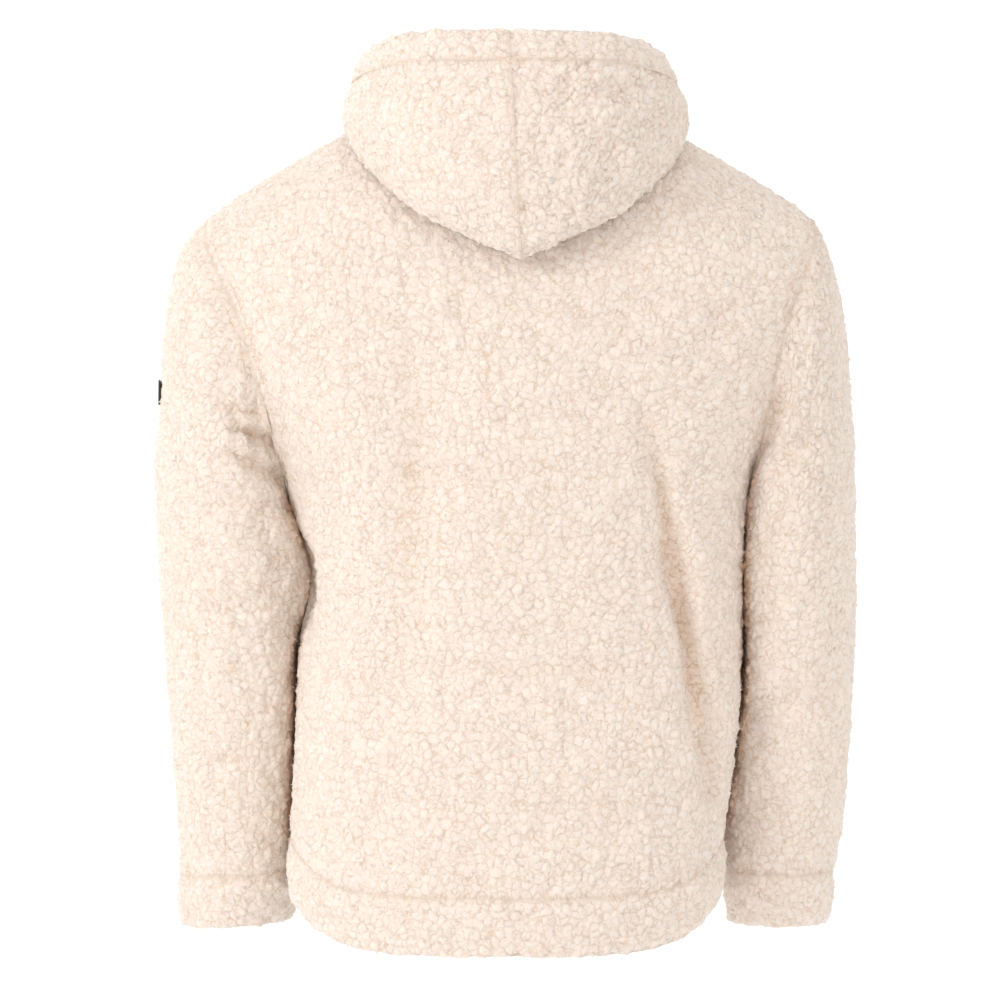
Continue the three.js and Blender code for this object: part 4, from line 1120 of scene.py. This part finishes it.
# %% Zip teeth
def small_shape(name, outline, thickness, rounding):
    """A prism over an outline in X and Z, its thickness along Y, with small bevels. It is only a pattern to repeat."""
    builder = bmesh.new()
    lower = [builder.verts.new((x * mm, -thickness * mm / 2, z * mm)) for x, z in outline]
    upper = [builder.verts.new((x * mm, thickness * mm / 2, z * mm)) for x, z in outline]
    builder.faces.new(lower)
    builder.faces.new(upper[::-1])
    for i in range(len(outline)):
        j = (i + 1) % len(outline)
        builder.faces.new((lower[j], lower[i], upper[i], upper[j]))
    bmesh.ops.bevel(builder, geom=builder.edges, offset=rounding * mm, segments=1, affect="EDGES")
    bmesh.ops.recalc_face_normals(builder, faces=builder.faces)
    return bpy.data.objects.new(name, mesh_from(builder, name))


tooth = small_shape(
    "tooth_pattern",
    [(3.7, -0.62), (1.3, -0.45), (0.4, -0.64), (-0.9, -0.48), (-0.9, 0.48), (0.4, 0.64), (1.3, 0.45), (3.7, 0.62)],
    2.7,
    0.16,
)
chain = corners_of("zip_chain")
levels_of_chain = chain[np.argsort(-chain[:, 2])].reshape(-1, 4, 3).mean(axis=1)
steps = walk(levels_of_chain, 1.45 * mm)
half_turn = Matrix.Rotation(math.pi, 3, "Y")
straight = Matrix.Identity(3)
frontward = Vector((0, -1, 0))
teeth_turns = [facing(along, frontward) @ (half_turn if i % 2 else straight) for i, (_, along) in enumerate(steps)]
teeth = row("zip_teeth", [place for place, _ in steps], teeth_turns, tooth, resin_finish, "teeth")
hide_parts("zip_chain")

# %% Rows of stitches on the tapes
stitch = small_shape("stitch_pattern", [(-0.22, -0.95), (0.22, -0.95), (0.22, 0.95), (-0.22, 0.95)], 0.36, 0.1)
for side, across in (("left", 6.9), ("right", -6.9)):
    skin = BVHTree.FromObject(tapes[side], bpy.context.evaluated_depsgraph_get())
    line = []
    for height in np.arange(-107, -686, -6.0):
        hit = skin.ray_cast(Vector((across * mm, -0.3, height * mm)), Vector((0, 1, 0)))
        if hit[0] is not None:
            line.append(hit[0] + hit[1] * 0.08 * mm)
    sewn_at = walk(line, 2.8 * mm)
    turns = [facing(along, frontward) for _, along in sewn_at]
    row("tape_stitches_" + side, [place for place, _ in sewn_at], turns, stitch, thread_finish, "tape")


# %% Box, slider and pull
def dressed(name, finish, rounding):
    """Keeps a hard solid and gives it small rounded edges and a finer finish."""
    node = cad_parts[name]
    weld_it = node.modifiers.new("weld", "WELD")
    weld_it.merge_threshold = same_corner
    edges = node.modifiers.new("edges", "BEVEL")
    edges.width = rounding * mm
    edges.segments = 2
    edges.limit_method = "ANGLE"
    edges.angle_limit = math.radians(35)
    edges.use_clamp_overlap = True
    for place in node.material_slots:
        place.material = finish


dressed("zip_box", resin_finish, 0.5)
dressed("zip_slider", metal_finish, 0.22)
dressed("zip_pull", metal_finish, 0.22)
print("dressed: zip_box, zip_slider, zip_pull")

# %% [markdown]
# ## The label
# A small blank woven label lies round the upper arm, sewn on near its edge.

# %% Label and its stitches
label = soft_copy("sleeve_patch", label_finish, 2)
skin = BVHTree.FromObject(label, bpy.context.evaluated_depsgraph_get())
label_low = Vector([min(v.co[i] for v in label.data.vertices) for i in range(3)])
label_high = Vector([max(v.co[i] for v in label.data.vertices) for i in range(3)])
inset = 1.6 * mm
top, bottom = label_high.z - inset, label_low.z + inset
# A point between the arm's middle and the label, from where the label is seen all round.
hub = Vector((label_low.x - 40 * mm, (label_low.y + label_high.y) / 2 + 12 * mm, 0))


def on_label(turn, height):
    """The place on the label's outer face at a turn about the arm, and the outward direction there."""
    away = Vector((math.cos(turn), math.sin(turn), 0))
    start = Vector((hub.x, hub.y, height)) + away * 0.15
    hit = skin.ray_cast(start, -away)
    return (hit[0] + hit[1] * 0.1 * mm, hit[1]) if hit[0] is not None and hit[1].dot(away) > 0.2 else None


turns = [math.radians(a) for a in np.arange(-80, 80, 0.5) if on_label(math.radians(a), (top + bottom) / 2)]
turn_inset = 0.022
first, last = turns[0] + turn_inset, turns[-1] - turn_inset
across_steps, down_steps = 40, 12
way_round = [
    ((first, top), (last, top), across_steps),
    ((last, top), (last, bottom), down_steps),
    ((last, bottom), (first, bottom), across_steps),
    ((first, bottom), (first, top), down_steps),
]
border = [on_label(first, top)]
for (turn, height), (next_turn, next_height), count in way_round:
    for i in range(1, count + 1):
        border.append(on_label(turn + (next_turn - turn) * i / count, height + (next_height - height) * i / count))
border = [b for b in border if b]
sewn_at = walk([place for place, _ in border], 2.3 * mm)
around = place_tree([place for place, _ in border])
border_turns = [facing(along, border[around.find(place)[1]][1]) for place, along in sewn_at]
label_stitches = row("label_stitches", [p for p, _ in sewn_at], border_turns, stitch, dark_thread, "patch")
for pattern in (tooth, stitch):
    bpy.data.objects.remove(pattern)

# %% [markdown]
# ## What each sheet was cut from
# Every piece of fleece is one flat cut of cloth. The widths come from cuts across the solids' outer faces, the lengths
# of the back and sleeves from upright cuts, and the depth of a band from its area. The length of the fronts and both
# sizes of a hood half are estimates. A tube is taken all round. The area is less than width times length, because
# necks, armholes and slopes are cut off.

# %% Flat sizes
flat_cuts = {
    "back": (0.605, 0.675, "hung", ["hood_left_cloth", "hood_right_cloth"]),
    "front_left": (0.29, 0.66, "hung", ["back_cloth"]),
    "front_right": (0.29, 0.66, "hung", ["back_cloth"]),
    "sleeve_left": (0.42, 0.60, "hung", ["back_cloth", "front_left_cloth"]),
    "sleeve_right": (0.392, 0.60, "hung", ["back_cloth", "front_right_cloth"]),
    "hem_band": (0.993, 0.0502, "hung", ["back_cloth", "front_left_cloth", "front_right_cloth"]),
    "cuff_left": (0.344, 0.0463, "hung", ["sleeve_left_cloth"]),
    "cuff_right": (0.324, 0.0462, "hung", ["sleeve_right_cloth"]),
    "hood_left": (0.27, 0.36, "draped", ["back_cloth"]),
    "hood_right": (0.27, 0.36, "draped", ["back_cloth"]),
    "hood_band_left": (0.338, 0.0376, "draped", ["hood_left_cloth"]),
    "hood_band_right": (0.345, 0.0384, "draped", ["hood_right_cloth"]),
}
for name, (width, length, held, rests_on) in flat_cuts.items():
    piece, area = made[name]
    print(name, "cut", width, "x", length, "m, area", round(area, 4), "m2")
